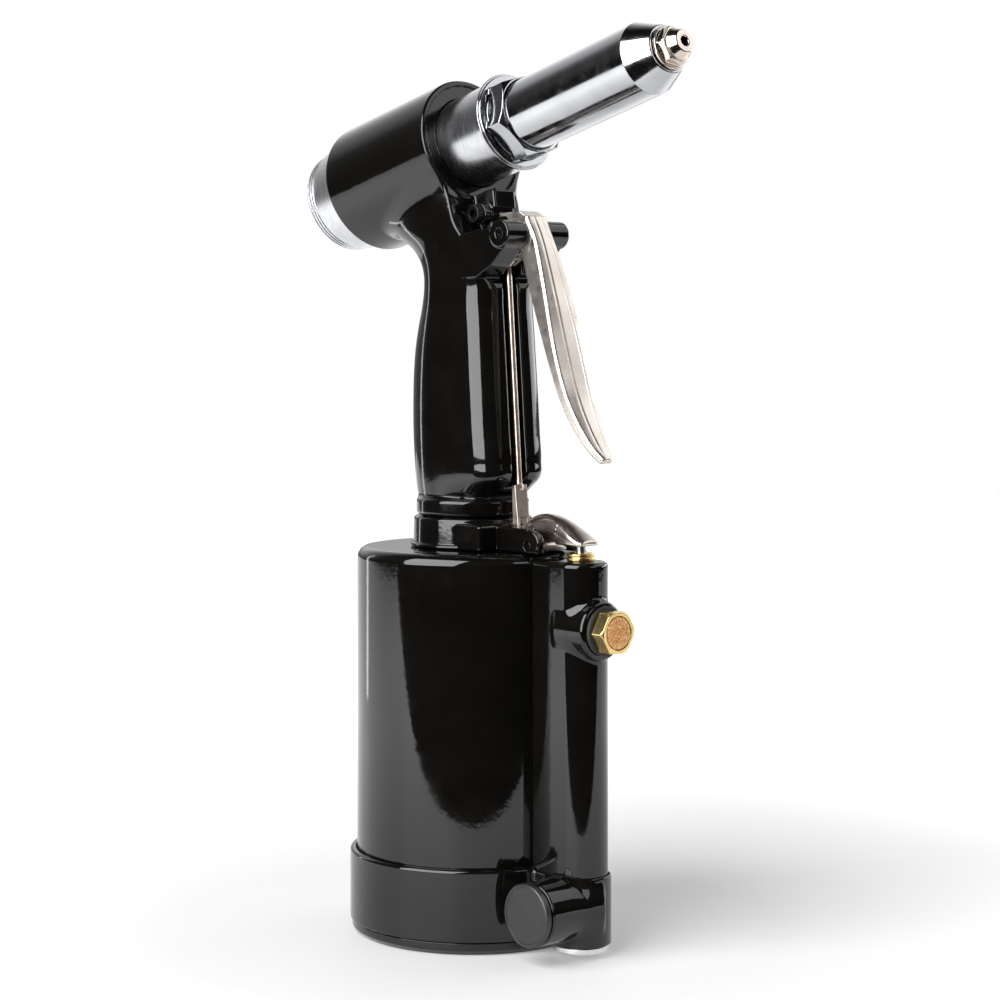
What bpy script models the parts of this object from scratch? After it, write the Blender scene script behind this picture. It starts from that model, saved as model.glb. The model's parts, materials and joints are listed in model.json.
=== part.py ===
"""Air-hydraulic rivet gun, built as separate sub-parts.

Lengths are in millimetres, and finish() turns each sub-part into metres.
World frame: origin at the centre of the base's underside, +Z up, nose towards +X.
The head is turned about its own axis, which leans nose-up by HEAD_TILT; stations
along that axis are measured from the point above the can's centre.
"""
import bmesh
import bpy
from math import cos, pi, radians, sin, tan
from mathutils import Matrix, Vector

MM = 0.001
GAP = 0.3
WELD = 0.002
SHARP = radians(32)

# Air cylinder, base and valve housing
CAN_R = 45.0
CAN_BORE_R = 41.8
CAN_TOP = 148.5
CAN_BOTTOM = 12.3
CAN_TOP_PLATE = 3.5
CAP_R = 47.7
CAP_BOTTOM = 5.0
CAP_TOP = 32.0
CAP_FLOOR = 12.0
COVER_TOP = 4.7
COLUMN_X = 60.4
COLUMN_HALF = 10.1
COLUMN_TOP = 146.5
COLUMN_BOTTOM = 27.3
FOOT_HALF = 11.3
INLET_Z = 19.1
INLET_R = 11.7
INLET_END = -24.9
MUFFLER_Z = 121.5
MUFFLER_BOSS_R = 11.0
MUFFLER_BOSS_END = 72.5

# Collar, rocker bracket and grip
COLLAR_TOP = 160.5
NECK_R = 21.9
NECK_TOP = 167.6
SPIGOT_R = 15.0
WIDE_HALF = 20.0
EAR_OUT = 11.3
EAR_IN = 7.9
ROD_LEAN = radians(4.35)
CHANNEL_HALF = 3.5
WEB_HALF = 5.6
OIL_SCREW = (13.4, 0, 276.8)
LUG_OUT = 16.0
LUG_IN = 5.4
BOSS_R = 5.3

# Head
HEAD_TILT = radians(14.5)
HEAD_Z = 305.6
BODY_REAR = -61.4
BODY_R = 26.0
CHAMBER_R = 19.3
COLLAR_R = 17.8
FLANGE_AT = 24.4
FLANGE_R = 19.2
BARREL_R = 13.85
BARREL_END = 97.5
CONE_END = 108.5
CONE_END_R = 9.26
TIP_AT = 117.2
TIP_R = 4.34
REAR_END = -82.5

# Pivots, as (x, z)
TRIGGER_PIVOT = (32.5, 268.6)
LINK_TOP = (20.3, 259.6)
LINK_BOTTOM = (28.0, 155.6)
ROCKER_PIVOT = (43.1, 151.5)

# Facets round each size of turned part
WIDE = 48
ROUND = 36
HEAD_SIDES = 28
SMALL = 18
TINY = 10

UPRIGHT = Matrix.Identity(4)
HEAD = Matrix.Translation((0, 0, HEAD_Z)) @ Matrix.Rotation(pi / 2 - HEAD_TILT, 4, "Y")

BLACK = (0.012, 0.012, 0.013, 1)
STEEL = (0.60, 0.60, 0.61, 1)
CHROME = (0.80, 0.81, 0.83, 1)
NICKEL = (0.66, 0.62, 0.57, 1)
ALUMINIUM = (0.75, 0.76, 0.78, 1)
BRASS = (0.78, 0.57, 0.24, 1)
BRONZE = (0.72, 0.47, 0.25, 1)
RUBBER = (0.03, 0.03, 0.03, 1)
RED_RUBBER = (0.35, 0.06, 0.04, 1)


def along_x(x, y, z):
    """Frame whose Z axis points along world +X."""
    return Matrix.Translation((x, y, z)) @ Matrix.Rotation(pi / 2, 4, "Y")


def along_minus_y(x, y, z):
    """Frame whose Z axis points along world -Y."""
    return Matrix.Translation((x, y, z)) @ Matrix.Rotation(pi / 2, 4, "X")


def upright_at(x, y=0.0):
    return Matrix.Translation((x, y, 0))


def add_solid(name, points, faces, frame):
    """Make one closed mesh from points in millimetres given in a frame."""
    mesh = bpy.data.meshes.new(name)
    mesh.from_pydata([frame @ Vector(p) for p in points], [], faces)
    shape = bmesh.new()
    shape.from_mesh(mesh)
    bmesh.ops.recalc_face_normals(shape, faces=shape.faces)
    shape.to_mesh(mesh)
    shape.free()
    item = bpy.data.objects.new(name, mesh)
    bpy.context.scene.collection.objects.link(item)
    return item


def lathe(name, profile, frame=UPRIGHT, sides=SMALL):
    """Turn a closed outline of (radius, height) points about the frame's Z axis."""
    points = []
    rings = []
    for radius, height in profile:
        count = sides if radius > 0 else 1
        rings.append([len(points) + i for i in range(count)])
        for i in range(count):
            turn = 2 * pi * i / sides
            points.append((radius * cos(turn), radius * sin(turn), height))
    faces = []
    for ring, following in zip(rings, rings[1:] + rings[:1]):
        if len(ring) == 1 and len(following) == 1:
            continue
        for i in range(sides):
            j = i + 1
            corners = [ring[i % len(ring)], ring[j % len(ring)]]
            corners += [following[j % len(following)], following[i % len(following)]]
            faces.append(list(dict.fromkeys(corners)))
    return add_solid(name, points, faces, frame)


def rod(name, radius, low, high, frame=UPRIGHT, sides=SMALL):
    return lathe(name, [(0, low), (radius, low), (radius, high), (0, high)], frame, sides)


def tube(name, outer, inner, low, high, frame=UPRIGHT, sides=SMALL):
    profile = [(inner, low), (outer, low), (outer, high), (inner, high)]
    return lathe(name, profile, frame, sides)


def loft(name, sections, frame=UPRIGHT):
    """Join equal-length rings of points into one closed skin with flat ends."""
    count = len(sections[0])
    points = [point for section in sections for point in section]
    faces = [list(range(count)), list(range(len(points) - count, len(points)))]
    for row in range(len(sections) - 1):
        for i in range(count):
            j = (i + 1) % count
            a, b = row * count, (row + 1) * count
            faces.append([a + i, a + j, b + j, b + i])
    return add_solid(name, points, faces, frame)


def plate(name, outline, low, high):
    """Side-view outline of (x, z) points given a thickness from low to high in y."""
    return loft(name, [[(x, y, z) for x, z in outline] for y in (low, high)])


def slab(name, outline, low, high):
    """Plan outline of (x, y) points given a height from low to high in z."""
    return loft(name, [[(x, y, z) for x, y in outline] for z in (low, high)])


def box(name, x0, x1, y0, y1, z0, z1):
    return slab(name, [(x0, y0), (x1, y0), (x1, y1), (x0, y1)], z0, z1)


def stadium(half, x0, x1, steps=12):
    """Plan outline: square at x0, half-round about x1."""
    arc = [pi * i / steps - pi / 2 for i in range(steps + 1)]
    round_end = [(x1 + half * cos(a), half * sin(a)) for a in arc]
    return [(x0, -half)] + round_end + [(x0, half)]


def combine(target, tool, operation):
    """Apply an exact boolean and discard the tool."""
    step = target.modifiers.new(operation.lower(), "BOOLEAN")
    step.operation = operation
    step.solver = "EXACT"
    step.object = tool
    bpy.context.view_layer.update()
    ready = target.evaluated_get(bpy.context.evaluated_depsgraph_get())
    mesh = bpy.data.meshes.new_from_object(ready)
    target.modifiers.clear()
    target.data = mesh
    bpy.data.objects.remove(tool)
    shape = bmesh.new()
    shape.from_mesh(mesh)
    bmesh.ops.remove_doubles(shape, verts=shape.verts, dist=WELD)
    shape.to_mesh(mesh)
    shape.free()


def join(target, *tools):
    for tool in tools:
        combine(target, tool, "UNION")


def cut(target, *tools):
    for tool in tools:
        combine(target, tool, "DIFFERENCE")


def finish(item, colour, metallic, roughness, origin=(0, 0, 0), frame=UPRIGHT):
    """Place a sub-part in metres, with its own material, smooth shading and joint origin."""
    material = bpy.data.materials.new(item.name)
    material.use_nodes = True
    shader = material.node_tree.nodes["Principled BSDF"]
    shader.inputs["Base Color"].default_value = colour
    shader.inputs["Metallic"].default_value = metallic
    shader.inputs["Roughness"].default_value = roughness
    item.data.materials.clear()
    item.data.materials.append(material)
    item.data.transform(frame)
    item.data.transform(Matrix.Scale(MM, 4) @ Matrix.Translation(-Vector(origin)))
    item.location = Vector(origin) * MM
    item.data.shade_smooth()
    item.data.set_sharp_from_angle(angle=SHARP)


def head_point(station):
    """World point, in millimetres, on the head's axis."""
    return HEAD @ Vector((0, 0, station))


def clear_file():
    for item in list(bpy.data.objects):
        bpy.data.objects.remove(item)


# ---------------------------------------------------------------- air cylinder

def build_can():
    profile = [
        (CAN_BORE_R, CAN_BOTTOM), (CAN_R, CAN_BOTTOM), (CAN_R, CAN_TOP - 3.0),
        (CAN_R - 0.9, CAN_TOP - 0.9), (CAN_R - 3.0, CAN_TOP),
        (SPIGOT_R + GAP, CAN_TOP), (SPIGOT_R + GAP, CAN_TOP - CAN_TOP_PLATE),
        (CAN_BORE_R, CAN_TOP - CAN_TOP_PLATE),
    ]
    can = lathe("air_cylinder", profile, sides=WIDE)
    finish(can, BLACK, 0.0, 0.12)


def build_valve_housing():
    housing = slab("valve_housing", stadium(COLUMN_HALF, 40.0, COLUMN_X),
                   COLUMN_BOTTOM, COLUMN_TOP)
    cut(housing, rod("tool", CAN_R + GAP, 0, 200, sides=WIDE))
    boss = lathe("tool", [
        (0, 58), (MUFFLER_BOSS_R, 58), (MUFFLER_BOSS_R, MUFFLER_BOSS_END - 2),
        (MUFFLER_BOSS_R - 1.6, MUFFLER_BOSS_END), (0, MUFFLER_BOSS_END),
    ], along_x(0, 0, MUFFLER_Z), SMALL)
    join(housing, boss)
    cut(housing, rod("tool", 6.0, 20, 141, upright_at(COLUMN_X), 20))
    cut(housing, rod("tool", 4.9, 130, 160, upright_at(COLUMN_X), 20))
    cut(housing, rod("tool", 5.0, 56, 90, along_x(0, 0, MUFFLER_Z), 20))
    finish(housing, BLACK, 0.0, 0.12)


def build_base_cap():
    profile = [
        (41.0, CAP_BOTTOM), (CAP_R, CAP_BOTTOM), (CAP_R, CAP_TOP - 2.5),
        (CAP_R - 1.1, CAP_TOP), (CAN_R + GAP, CAP_TOP), (CAN_R + GAP, CAP_FLOOR),
        (0, CAP_FLOOR), (0, CAP_FLOOR - 3.5), (41.0, CAP_FLOOR - 3.5),
    ]
    cap = lathe("base_cap", profile, sides=WIDE)
    foot = slab("tool", stadium(FOOT_HALF, 42.0, COLUMN_X), CAP_BOTTOM, CAP_TOP - 0.5)
    inlet = lathe("tool", [(0, 0), (INLET_R + 1.6, 0), (INLET_R, 14), (INLET_R, -INLET_END),
                           (0, -INLET_END)], along_minus_y(COLUMN_X, 0, INLET_Z), SMALL)
    cut(foot, rod("tool", CAN_R + 1.4, 0, 60, sides=WIDE))
    cut(inlet, rod("tool", CAN_R + 1.4, 0, 60, sides=WIDE))
    join(foot, inlet)
    join(cap, foot)
    pocket = slab("tool", stadium(COLUMN_HALF + GAP, 43.0, COLUMN_X),
                  COLUMN_BOTTOM - GAP, CAP_TOP + 4)
    cut(cap, pocket)
    cut(cap, rod("tool", 7.0, 0, 40, upright_at(COLUMN_X), 20))
    cut(cap, rod("tool", 6.5, 0, 40, along_minus_y(COLUMN_X, 0, INLET_Z), 20))
    finish(cap, BLACK, 0.0, 0.12)


def build_bottom():
    cover = lathe("bottom_cover", [
        (0, 0), (CAP_R - 3.2, 0), (CAP_R - 1.4, 1.0), (CAP_R - 0.7, 2.6),
        (CAP_R - 0.7, COVER_TOP), (40.7, COVER_TOP), (40.7, 7.5), (0, 7.5),
    ], sides=WIDE)
    finish(cover, BLACK, 0.0, 0.15)
    plug = lathe("bottom_plug", [
        (0, 2.0), (9.6, 2.0), (10.4, 2.8), (10.4, COVER_TOP), (6.7, COVER_TOP),
        (6.7, 11.0), (4.5, 11.0), (4.5, 26.5), (0, 26.5),
    ], upright_at(COLUMN_X), 16)
    cut(plug, rod("tool", 3.2, 8.0, 30, upright_at(COLUMN_X), 20))
    cut(plug, rod("tool", 2.6, 12, 28, along_minus_y(COLUMN_X, 0, INLET_Z), TINY))
    finish(plug, ALUMINIUM, 1.0, 0.35)


def build_inlet_plug():
    plug = lathe("inlet_plug", [
        (0, 12), (6.2, 12), (6.2, 25.2), (9.8, 25.2), (9.8, 25.7), (11.6, 25.9), (11.6, 27.9),
        (11.1, 28.3), (0, 28.3),
    ], along_minus_y(COLUMN_X, 0, INLET_Z), SMALL)
    finish(plug, RUBBER, 0.0, 0.35)


def hexagon(across_flats, turn=0.0):
    radius = across_flats / 2 / cos(pi / 6)
    return [(radius * cos(turn + i * pi / 3), radius * sin(turn + i * pi / 3)) for i in range(6)]


def hex_prism(name, across_flats, low, high, frame, turn=0.0):
    rings = [[(x, y, z) for x, y in hexagon(across_flats, turn)] for z in (low, high)]
    return loft(name, rings, frame)


def chamfered_hex(name, across_flats, low, high, chamfer, frame, turn=0.0):
    """Hexagon with its high corners turned down to a 30 degree cone."""
    item = hex_prism(name, across_flats, low, high, frame, turn)
    reach = across_flats / 2 / cos(pi / 6) + 1
    start = across_flats / 2 - chamfer
    outside = lathe("tool", [
        (start - 1 / tan(radians(30)), high + 1), (reach, high - (reach - start) * tan(radians(30))),
        (reach, high + 1),
    ], frame, 36)
    cut(item, outside)
    return item


def build_muffler():
    frame = along_x(0, 0, MUFFLER_Z)
    washer = tube("muffler_washer", 9.3, 5.0, 72.8, 74.3, frame, SMALL)
    finish(washer, RUBBER, 0.0, 0.3)
    body = chamfered_hex("muffler_body", 15.2, 74.6, 80.4, 0.4, UPRIGHT, radians(30))
    join(body, rod("tool", 4.6, 63, 76, sides=20))
    cut(body, rod("tool", 6.3, 78.4, 84, sides=28))
    cut(body, rod("tool", 3.0, 60, 80, sides=TINY))
    finish(body, BRASS, 1.0, 0.28, frame=frame)
    disc = lathe("muffler_disc", [(0, 78.7), (6.0, 78.7), (6.0, 80.3), (5.2, 80.9), (0, 80.9)],
                 frame, SMALL)
    finish(disc, BRONZE, 1.0, 0.55)


def build_valve():
    frame = upright_at(COLUMN_X)
    cap = lathe("valve_cap", [
        (2.1, 134), (4.6, 134), (4.6, 146.4), (5.2, 146.8), (5.2, 147.9), (4.5, 148.1),
        (4.5, 148.4), (5.2, 148.6), (5.2, 149.1), (4.4, 149.6), (2.1, 149.6),
    ], frame, 16)
    finish(cap, BRASS, 1.0, 0.25)
    stem = lathe("valve_stem", [(0, 95.3), (1.8, 95.3), (1.8, 151.9), (1.2, 152.6), (0, 152.6)],
                 frame, TINY)
    finish(stem, STEEL, 1.0, 0.25, (COLUMN_X, 0, 152.6))
    spool = lathe("valve_spool", [
        (0, 62), (5.7, 62), (5.7, 68), (3.4, 69), (3.4, 76), (5.7, 77), (5.7, 82), (3.4, 83),
        (3.4, 89), (5.7, 90), (5.7, 95), (0, 95),
    ], frame, 16)
    finish(spool, BRASS, 1.0, 0.3, (COLUMN_X, 0, 152.6))
    spring = coil("valve_spring", 4.1, 0.7, 28.0, 61.2, 7, frame)
    finish(spring, STEEL, 1.0, 0.3, (COLUMN_X, 0, 152.6))


def coil(name, radius, wire, low, high, turns, frame, steps=10, sides=4):
    """Open-coil spring between two heights."""
    sections = []
    total = turns * steps
    rise = (high - low - 2 * wire) / total
    for i in range(total + 1):
        turn = 2 * pi * i / steps
        ring = []
        for j in range(sides):
            around = 2 * pi * j / sides
            reach = radius + wire * cos(around)
            height = low + wire + rise * i + wire * sin(around)
            ring.append((reach * cos(turn), reach * sin(turn), height))
        sections.append(ring)
    return loft(name, sections, frame)


# --------------------------------------------------------- power unit internals

def build_power_unit():
    origin = (0, 0, 25)
    piston = lathe("air_piston", [
        (4.9, 17.2), (9.4, 17.2), (9.4, 13.0), (CAN_BORE_R - 1.2, 13.0), (CAN_BORE_R - 0.4, 13.8),
        (CAN_BORE_R - 0.4, 17.5), (38.5, 17.5), (38.5, 21.5), (CAN_BORE_R - 0.4, 21.5),
        (CAN_BORE_R - 0.4, 25.0), (4.9, 25.0),
    ], sides=HEAD_SIDES)
    finish(piston, ALUMINIUM, 1.0, 0.4, origin)
    seal = tube("air_piston_seal", CAN_BORE_R - 0.15, 38.8, 17.8, 21.2, sides=HEAD_SIDES)
    finish(seal, RUBBER, 0.0, 0.6, origin)
    ram = lathe("ram", [(0, 13.4), (4.6, 13.4), (4.6, 25.3), (7.0, 25.3), (7.0, 167.0),
                        (6.2, 168.0), (0, 168.0)], sides=SMALL)
    finish(ram, STEEL, 1.0, 0.15, origin)
    nut = hex_prism("ram_nut", 14.0, 13.2, 16.9, UPRIGHT)
    cut(nut, rod("tool", 4.9, 0, 30, sides=SMALL))
    finish(nut, STEEL, 1.0, 0.35, origin)
    lock = hex_prism("neck_nut", 36.0, 139.5, CAN_TOP - CAN_TOP_PLATE - GAP, UPRIGHT)
    cut(lock, rod("tool", SPIGOT_R + GAP, 100, 200, sides=SMALL))
    finish(lock, STEEL, 1.0, 0.35)
    gland = lathe("ram_gland", [(7.1, 139.8), (11.0, 139.8), (11.0, 159.7), (7.1, 159.7)], sides=SMALL)
    finish(gland, BRASS, 1.0, 0.3)
    ring = tube("ram_seal", 11.0, 7.12, 160.0, 163.6, sides=SMALL)
    finish(ring, RED_RUBBER, 0.0, 0.5)
    cushion = tube("piston_cushion", 26.0, 8.0, 134.2, 139.2, sides=SMALL)
    finish(cushion, RUBBER, 0.0, 0.6)


# ------------------------------------------------------ collar and rocker bracket

def build_bracket():
    bracket = lathe("rocker_bracket", [
        (19.3, 148.8), (24.2, 148.8), (24.2, 150.0), (23.2, 150.6), (22.9, COLLAR_TOP - 1.2),
        (22.3, COLLAR_TOP - 0.3), (19.3, COLLAR_TOP - 0.3),
    ], sides=ROUND)
    block = slab("tool", [(5, -WIDE_HALF), (26.3, -WIDE_HALF), (26.3, WIDE_HALF), (5, WIDE_HALF)],
                 148.8, 158.3)
    cut(block, rod("tool", 20.5, 100, 200, sides=ROUND))
    join(bracket, block)
    end = [(43.6 + 5.8 * sin(a), 152.6 + 4.9 * cos(a)) for a in
           [radians(v) for v in (0, 33, 66, 100)]]
    ear = [(25.0, 148.8), (25.0, 158.3), (38.0, 158.0)] + end + [(48.7, 148.8)]
    for low, high in ((-EAR_OUT, -EAR_IN), (EAR_IN, EAR_OUT)):
        join(bracket, plate("tool", ear, low, high))
    cut(bracket, box("tool", 25.0, 40, -EAR_IN, EAR_IN, 140, 170))
    x, z = ROCKER_PIVOT
    cut(bracket, rod("tool", 1.5 + GAP, -30, 30, along_minus_y(x, 0, z), TINY))
    finish(bracket, BLACK, 0.0, 0.12)
    pin = rod("rocker_pin", 1.5, -10.9, 10.9, along_minus_y(x, 0, z), TINY)
    finish(pin, STEEL, 1.0, 0.3)


# Top line of the rocker: x, top height, half-width
ROCKER_LINE = [
    (32.2, 158.0, 3.6), (34.5, 160.8, 4.4), (38.0, 162.5, 4.9), (42.0, 163.2, 5.0),
    (46.0, 163.1, 5.0), (50.5, 162.0, 5.2), (55.0, 159.8, 5.5), (59.5, 156.9, 5.6),
    (63.0, 154.4, 4.9), (65.6, 152.6, 3.2),
]


def rocker_floor(x):
    """Underside height of the rocker at a given x."""
    if x < 40:
        return 154.4
    if x < 52:
        return 153.2
    return 152.9 if x < 65 else 152.1


def build_rocker():
    sections = []
    for x, top, half in ROCKER_LINE:
        low = min(rocker_floor(x), top - 0.8)
        ring = [(x, -half, low)]
        for i in range(9):
            around = pi * i / 8
            ring.append((x, -half * cos(around), low + (top - low) * (0.35 + 0.65 * sin(around))))
        ring.append((x, half, low))
        sections.append(ring)
    x, z = ROCKER_PIVOT
    rocker = loft("rocker", sections)
    hub = rod("tool", 2.65, -7.6, 7.6, along_minus_y(x, 0, z), TINY)
    web = plate("tool", [(40.6, 151.0), (45.6, 151.0), (47.2, 156.0), (39.0, 156.0)], -4.5, 4.5)
    arm = plate("tool", [
        (25.9, 154.0), (28.6, 152.9), (38.0, 151.0), (42.4, 150.4), (42.4, 156.5), (35.0, 159.3),
        (31.0, 158.2), (26.4, 157.7), (25.5, 156.0),
    ], -1.6, 1.6)
    join(rocker, hub, web, arm)
    cut(rocker, rod("tool", 1.5 + GAP, -30, 30, along_minus_y(x, 0, z), TINY))
    cut(rocker, rod("tool", 1.2 + 0.05, -30, 30, along_minus_y(LINK_BOTTOM[0], 0, LINK_BOTTOM[1]), TINY))
    finish(rocker, NICKEL, 1.0, 0.25, (x, 0, z))
    pin = rod("lower_link_pin", 1.2, -3.0, 3.0, along_minus_y(LINK_BOTTOM[0], 0, LINK_BOTTOM[1]), TINY)
    finish(pin, STEEL, 1.0, 0.3, (x, 0, z))


def build_trigger_rod():
    top = Vector((LINK_TOP[0], 0, LINK_TOP[1]))
    bottom = Vector((LINK_BOTTOM[0], 0, LINK_BOTTOM[1]))
    span = bottom - top
    frame = Matrix.Translation(top) @ span.to_track_quat("Z", "Y").to_matrix().to_4x4()
    length = span.length
    shaft = rod("trigger_rod", 1.25, 2.0, length - 16.0, frame, 14)
    eye = rod("tool", 2.7, -1.5, 1.5, along_minus_y(top.x, 0, top.z), 16)
    join(shaft, eye)
    fork = plate("tool", [
        (25.75, 173.2), (27.75, 173.4), (29.6, 157.5), (30.0, 155.4), (29.2, 153.9),
        (27.4, 153.7), (26.3, 155.0), (26.2, 157.0),
    ], -3.1, 3.1)
    join(shaft, fork)
    cut(shaft, box("tool", 20, 34, -1.9, 1.9, 140, 161.0))
    cut(shaft, rod("tool", 1.2 + 0.3, -30, 30, along_minus_y(top.x, 0, top.z), TINY))
    slot = rod("tool", 1.2 + 0.35, -30, 30, along_minus_y(bottom.x, 0, bottom.z), TINY)
    cut(shaft, slot)
    finish(shaft, NICKEL, 1.0, 0.3, top)


# ------------------------------------------------------------------------ grip

# Grip sections: height, rear x, half-width, front x, front half-width, corner radius
GRIP_SECTIONS = [
    (165.0, -22.6, 17.9, 20.0, 14.0, 8.0),
    (168.0, -24.2, 18.1, 22.4, 15.0, 9.0),
    (171.0, -25.0, 18.3, 24.4, 15.8, 9.5),
    (175.0, -25.7, 18.5, 27.0, 16.6, 10.0),
    (182.0, -26.6, 18.7, 27.0, 16.9, 10.0),
    (192.0, -27.4, 18.8, 26.2, 17.0, 10.0),
    (206.0, -27.6, 18.8, 25.2, 17.0, 10.0),
    (218.0, -27.2, 18.5, 24.3, 16.9, 10.0),
    (226.0, -26.1, 18.3, 23.7, 16.8, 10.0),
    (234.0, -24.0, 18.0, 23.1, 16.7, 10.0),
    (242.0, -21.2, 17.7, 22.4, 16.6, 10.0),
    (249.0, -19.8, 17.6, 21.9, 16.6, 9.0),
    (254.0, -20.0, 17.7, 19.5, 16.8, 5.0),
    (258.0, -21.7, 17.9, 17.0, 17.0, 3.0),
    (262.0, -25.0, 18.3, 15.4, 17.2, 2.5),
    (265.5, -30.1, 18.8, 14.0, 17.4, 2.0),
    (268.5, -37.0, 19.2, 12.8, 17.7, 2.0),
    (272.5, -44.0, 19.6, 10.0, 18.0, 2.0),
    (284.0, -46.0, 19.8, 6.0, 18.5, 2.0),
    (296.0, -44.0, 19.8, 0.0, 18.5, 2.0),
]
GRIP_MIDDLE = -2.0


def grip_section(height, rear, half, front, nose_half, corner):
    """Egg-shaped plan ring: elliptical rear, rounded square front."""
    side = []
    for i in range(8):
        around = pi / 2 * i / 7
        side.append((GRIP_MIDDLE - (GRIP_MIDDLE - rear) * cos(around), half * sin(around)))
    for i in range(5):
        around = pi / 2 * (1 - i / 4)
        side.append((front - corner + corner * cos(around),
                     nose_half - corner + corner * sin(around)))
    side.append((front, 0))
    mirrored = [(x, -y) for x, y in reversed(side[1:-1])]
    return [(x, y, height) for x, y in side + mirrored]


def build_grip():
    grip = lathe("grip_body", [
        (0, BODY_REAR), (BODY_R - 1.0, BODY_REAR), (BODY_R, BODY_REAR + 1.2),
        (BODY_R - 0.6, -1.2), (BODY_R - 1.2, 0), (0, 0),
    ], HEAD, ROUND)
    handle = loft("tool", [grip_section(*row) for row in GRIP_SECTIONS])
    join(grip, handle)
    neck = lathe("tool", [
        (0, 141.0), (SPIGOT_R, 141.0), (SPIGOT_R, 148.8), (19.0, 148.8), (19.0, COLLAR_TOP),
        (NECK_R, COLLAR_TOP), (NECK_R, NECK_TOP - 2.2), (NECK_R - 0.8, NECK_TOP - 0.7),
        (NECK_R - 3.0, NECK_TOP), (0, NECK_TOP + 3),
    ], sides=ROUND)
    join(grip, neck)
    web = plate("tool", [
        (-2, 262), (16.0, 262), (17.0, 268), (17.6, 273.5), (18.0, 279.0), (19.2, 279.3),
        (18.3, 285.5), (20.2, 290.5), (20.2, 298), (0, 298),
    ], -WEB_HALF, WEB_HALF)
    join(grip, web, rod("tool", 4.2, 2.0, 9.0, along_minus_y(*OIL_SCREW), SMALL))
    cut(grip, build_channel())
    join_lugs(grip)
    cut_head(grip)
    finish(grip, BLACK, 0.0, 0.12)


def build_channel():
    """Front groove that the trigger rod runs in."""
    def wall(z):
        return 27.0 - (z - 182.0) * tan(ROD_LEAN) - 6.3
    outline = [(40, 140), (40, 266.5), (14.2, 266.5), (13.6, 255.5), (wall(250), 250),
               (wall(176), 176), (22.5, 170), (22.5, 140)]
    return plate("tool", outline, -CHANNEL_HALF, CHANNEL_HALF)


# Gusset plate between the handle and each pivot boss, as (x, z), and its outer face at x 12
GUSSET = [(12.0, 251.8), (12.0, 269.6), (20.0, 270.4), (30.5, 272.6), (34.0, 268.0),
          (36.0, 265.4), (27.5, 256.5), (21.5, 253.0)]
GUSSET_FACE = 17.3


def gusset_face(x):
    """Distance of the gusset's outer face from the middle plane, less towards the boss."""
    return GUSSET_FACE - 0.12 * (x - GUSSET[0][0])


def join_lugs(grip):
    """Two gusseted bosses that carry the trigger's pivot pin."""
    x, z = TRIGGER_PIVOT
    for sign in (-1, 1):
        low, high = sorted((-sign * (LUG_IN - 0.5), -sign * LUG_OUT))
        join(grip, rod("tool", BOSS_R, low, high, along_minus_y(x, 0, z), SMALL))
        inner = [(px, sign * (LUG_IN - 1.0), pz) for px, pz in GUSSET]
        outer = [(px, sign * gusset_face(px), pz) for px, pz in GUSSET]
        join(grip, loft("tool", [inner, outer]))
    cut(grip, rod("tool", 1.8 + 0.05, -30, 30, along_minus_y(x, 0, z), TINY))
    cut(grip, box("tool", 23.3, 60, -LUG_IN, LUG_IN, 240, 274.9))


def cut_head(grip):
    """Bore the head, the ram passage and the oil ways."""
    chamber = lathe("tool", [
        (0, -70), (CHAMBER_R, -70), (CHAMBER_R, -9.0), (COLLAR_R + GAP, -9.0),
        (COLLAR_R + GAP, -5.0), (21.0, -5.0), (21.0, -3.0), (23.2, -3.0), (23.2, 1.0),
        (COLLAR_R + GAP, 1.0), (COLLAR_R + GAP, 40), (0, 40),
    ], HEAD, ROUND)
    cut(grip, chamber)
    cut(grip, lathe("tool", [(0, 120), (11.3, 120), (11.3, 164.0), (7.6, 164.0), (7.6, 262),
                             (0, 262)], sides=SMALL))
    start = Vector((1.0, 0, 257))
    end = Vector((-19.0, 0, 292))
    slant = Matrix.Translation(start) @ (end - start).to_track_quat("Z", "Y").to_matrix().to_4x4()
    cut(grip, rod("tool", 3.5, 0, (end - start).length, slant, TINY))
    cut(grip, rod("tool", 2.8, 4.0, 20, along_minus_y(*OIL_SCREW), TINY))


def build_oil_screw():
    frame = along_minus_y(*OIL_SCREW)
    screw = lathe("oil_screw", [(0, 5.0), (2.5, 5.0), (2.5, 9.3), (3.7, 9.3), (3.7, 11.7),
                                (3.1, 12.3), (0, 12.3)], frame, SMALL)
    cut(screw, hex_prism("tool", 3.0, 10.2, 15, frame))
    finish(screw, BLACK, 1.0, 0.3)


# --------------------------------------------------------------------- trigger

# Front line of the trigger: x, z, half-width, cheek depth
TRIGGER_LINE = [
    (36.4, 275.6, 5.0, 8.5), (39.8, 270.0, 5.1, 10.2), (43.2, 262.5, 5.6, 9.6),
    (48.8, 247.5, 7.0, 8.8), (53.9, 232.4, 8.3, 7.0), (57.8, 220.0, 8.6, 5.8),
    (62.0, 207.5, 7.9, 5.0), (66.9, 197.0, 6.4, 4.3), (71.6, 189.2, 4.6, 3.4),
    (75.4, 184.4, 2.6, 2.6),
]
TRIGGER_WALL = 1.9


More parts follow.
